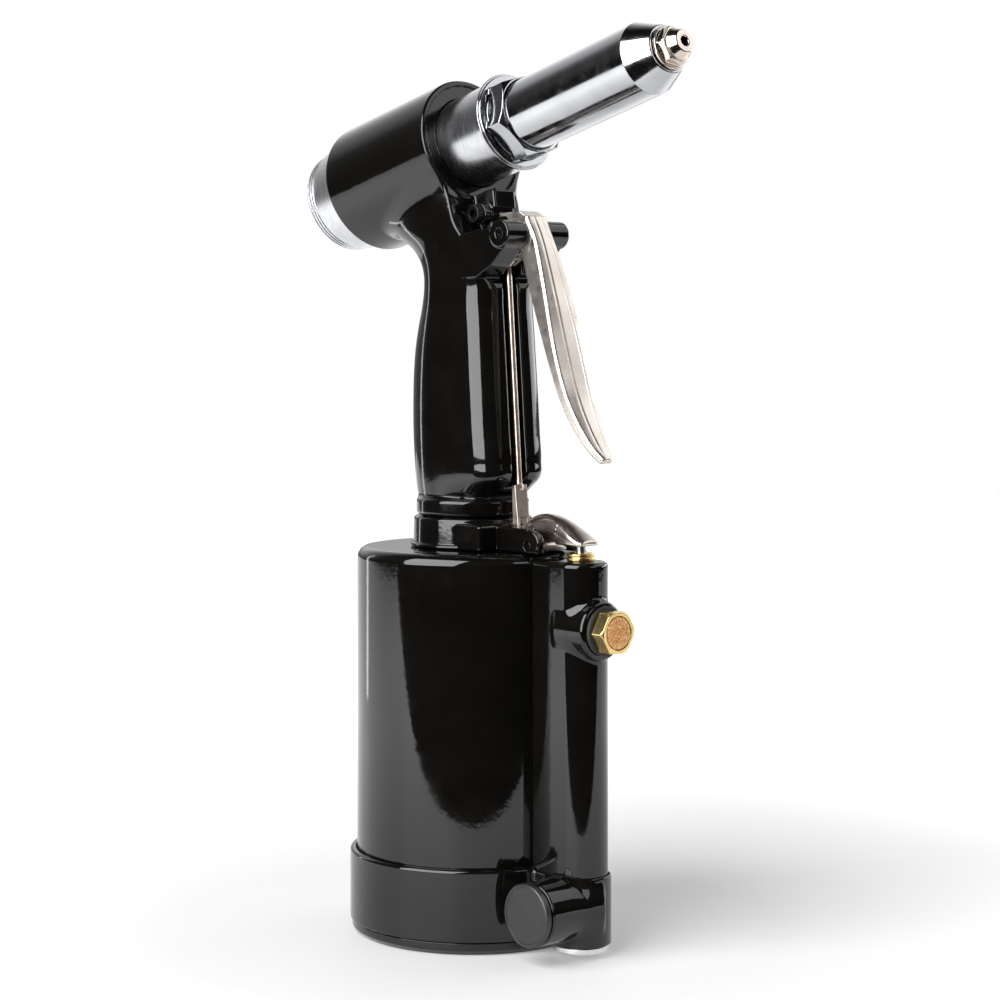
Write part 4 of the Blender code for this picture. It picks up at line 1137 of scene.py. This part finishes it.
def make_floor():
    """Pale matt table top, square to the camera; its glow grows outward, into the backdrop."""
    toward = Vector((EYE[0], EYE[1], 0)).normalized()
    across = Vector((-toward.y, toward.x, 0))
    corners = []
    for side, depth in ((-1, TABLE_FRONT), (1, TABLE_FRONT), (1, -TABLE_BACK), (-1, -TABLE_BACK)):
        corners.append(across * side * TABLE_SIDE + toward * depth)
    mesh = bpy.data.meshes.new("floor")
    mesh.from_pydata([tuple(c) for c in corners], [], [(0, 1, 2, 3)])
    floor = bpy.data.objects.new("floor", mesh)
    bpy.context.scene.collection.objects.link(floor)
    material, tree, shader = blank("pale_table", (0.62, 0.62, 0.62), 0.0, 0.6)
    shader.inputs["Specular IOR Level"].default_value = 0.2
    shader.inputs["Emission Color"].default_value = (1, 1, 1, 1)
    distance = tree.nodes.new("ShaderNodeVectorMath")
    distance.operation = "LENGTH"
    tree.links.new(position(tree), distance.inputs[0])
    glow = scaled(tree, distance.outputs["Value"], *TABLE_GLOW, TABLE_GLOW_FROM, TABLE_GLOW_TO)
    tree.links.new(glow, shader.inputs["Emission Strength"])
    floor.data.materials.append(material)


def softbox(name, azimuth, elevation, distance, width, height, radiance):
    """Evenly bright rectangle round the tool; azimuth runs from +X towards +Y, in degrees."""
    a, e = radians(azimuth), radians(elevation)
    light = bpy.data.lights.new(name, "AREA")
    light.shape = "RECTANGLE"
    light.size = width
    light.size_y = height
    light.energy = radiance * pi * width * height
    lamp = bpy.data.objects.new(name, light)
    way = Vector((cos(a) * cos(e), sin(a) * cos(e), sin(e)))
    lamp.location = Vector((0, 0, LIGHT_AIM)) + way * distance
    lamp.rotation_euler = way.to_track_quat("Z", "Y").to_euler()
    lamp.visible_camera = False
    bpy.context.scene.collection.objects.link(lamp)


def make_lights():
    for light in LIGHTS:
        softbox(*light)


# Room radiance by how far a direction points away from the camera's side: (cosine, radiance)
ROOM = [
    (0.0, 0.05), (0.30, 0.06), (0.42, 0.14), (0.54, 0.46), (0.74, 0.74), (0.93, 1.2), (1.0, 1.5),
]

# The room by how steeply a direction points up: (strength before, after, from, to)
CEILING = (1.0, 0.16, 0.62, 0.90)
LEVEL = (0.22, 1.0, 0.03, 0.30)


def make_world():
    """White backdrop for the camera; for the object, a dark room with a pale wall behind it.

    The wall is dimmer near the floor and overhead.
    """
    world = bpy.data.worlds.new("studio")
    bpy.context.scene.world = world
    world.use_nodes = True
    tree = world.node_tree
    tree.nodes.clear()
    way = tree.nodes.new("ShaderNodeTexCoord")
    behind = tree.nodes.new("ShaderNodeVectorMath")
    behind.operation = "DOT_PRODUCT"
    behind.inputs[1].default_value = -Vector((EYE[0], EYE[1], 0)).normalized()
    tree.links.new(way.outputs["Generated"], behind.inputs[0])
    wall = tree.nodes.new("ShaderNodeValToRGB")
    ramp = wall.color_ramp.elements
    for share, radiance in ROOM[1:-1]:
        ramp.new(share)
    for stop, (share, radiance) in zip(ramp, ROOM):
        stop.position = share
        stop.color = (radiance, radiance, radiance, 1)
    tree.links.new(behind.outputs["Value"], wall.inputs["Fac"])
    height = tree.nodes.new("ShaderNodeSeparateXYZ")
    tree.links.new(way.outputs["Generated"], height.inputs["Vector"])
    ceiling = scaled(tree, height.outputs["Z"], *CEILING)
    level = scaled(tree, height.outputs["Z"], *LEVEL)
    strength = tree.nodes.new("ShaderNodeMath")
    strength.operation = "MULTIPLY"
    tree.links.new(ceiling, strength.inputs[0])
    tree.links.new(level, strength.inputs[1])
    shine = tree.nodes.new("ShaderNodeBackground")
    tree.links.new(wall.outputs["Color"], shine.inputs["Color"])
    tree.links.new(strength.outputs["Value"], shine.inputs["Strength"])
    plain = tree.nodes.new("ShaderNodeBackground")
    plain.inputs["Color"].default_value = (1, 1, 1, 1)
    plain.inputs["Strength"].default_value = 1.0
    ray = tree.nodes.new("ShaderNodeLightPath")
    choose = tree.nodes.new("ShaderNodeMixShader")
    output = tree.nodes.new("ShaderNodeOutputWorld")
    tree.links.new(ray.outputs["Is Camera Ray"], choose.inputs["Fac"])
    tree.links.new(shine.outputs["Background"], choose.inputs[1])
    tree.links.new(plain.outputs["Background"], choose.inputs[2])
    tree.links.new(choose.outputs["Shader"], output.inputs["Surface"])


def main():
    make_camera()
    make_can()
    make_column()
    make_base()
    make_inlet_plug()
    make_muffler()
    make_valve()
    make_bracket()
    make_rocker()
    make_trigger_rod()
    make_casting()
    make_screw()
    make_trigger()
    make_front()
    make_rear()
    dress_inner_pieces()
    make_floor()
    make_lights()
    make_world()
    bpy.context.scene.view_settings.view_transform = "Standard"


main()
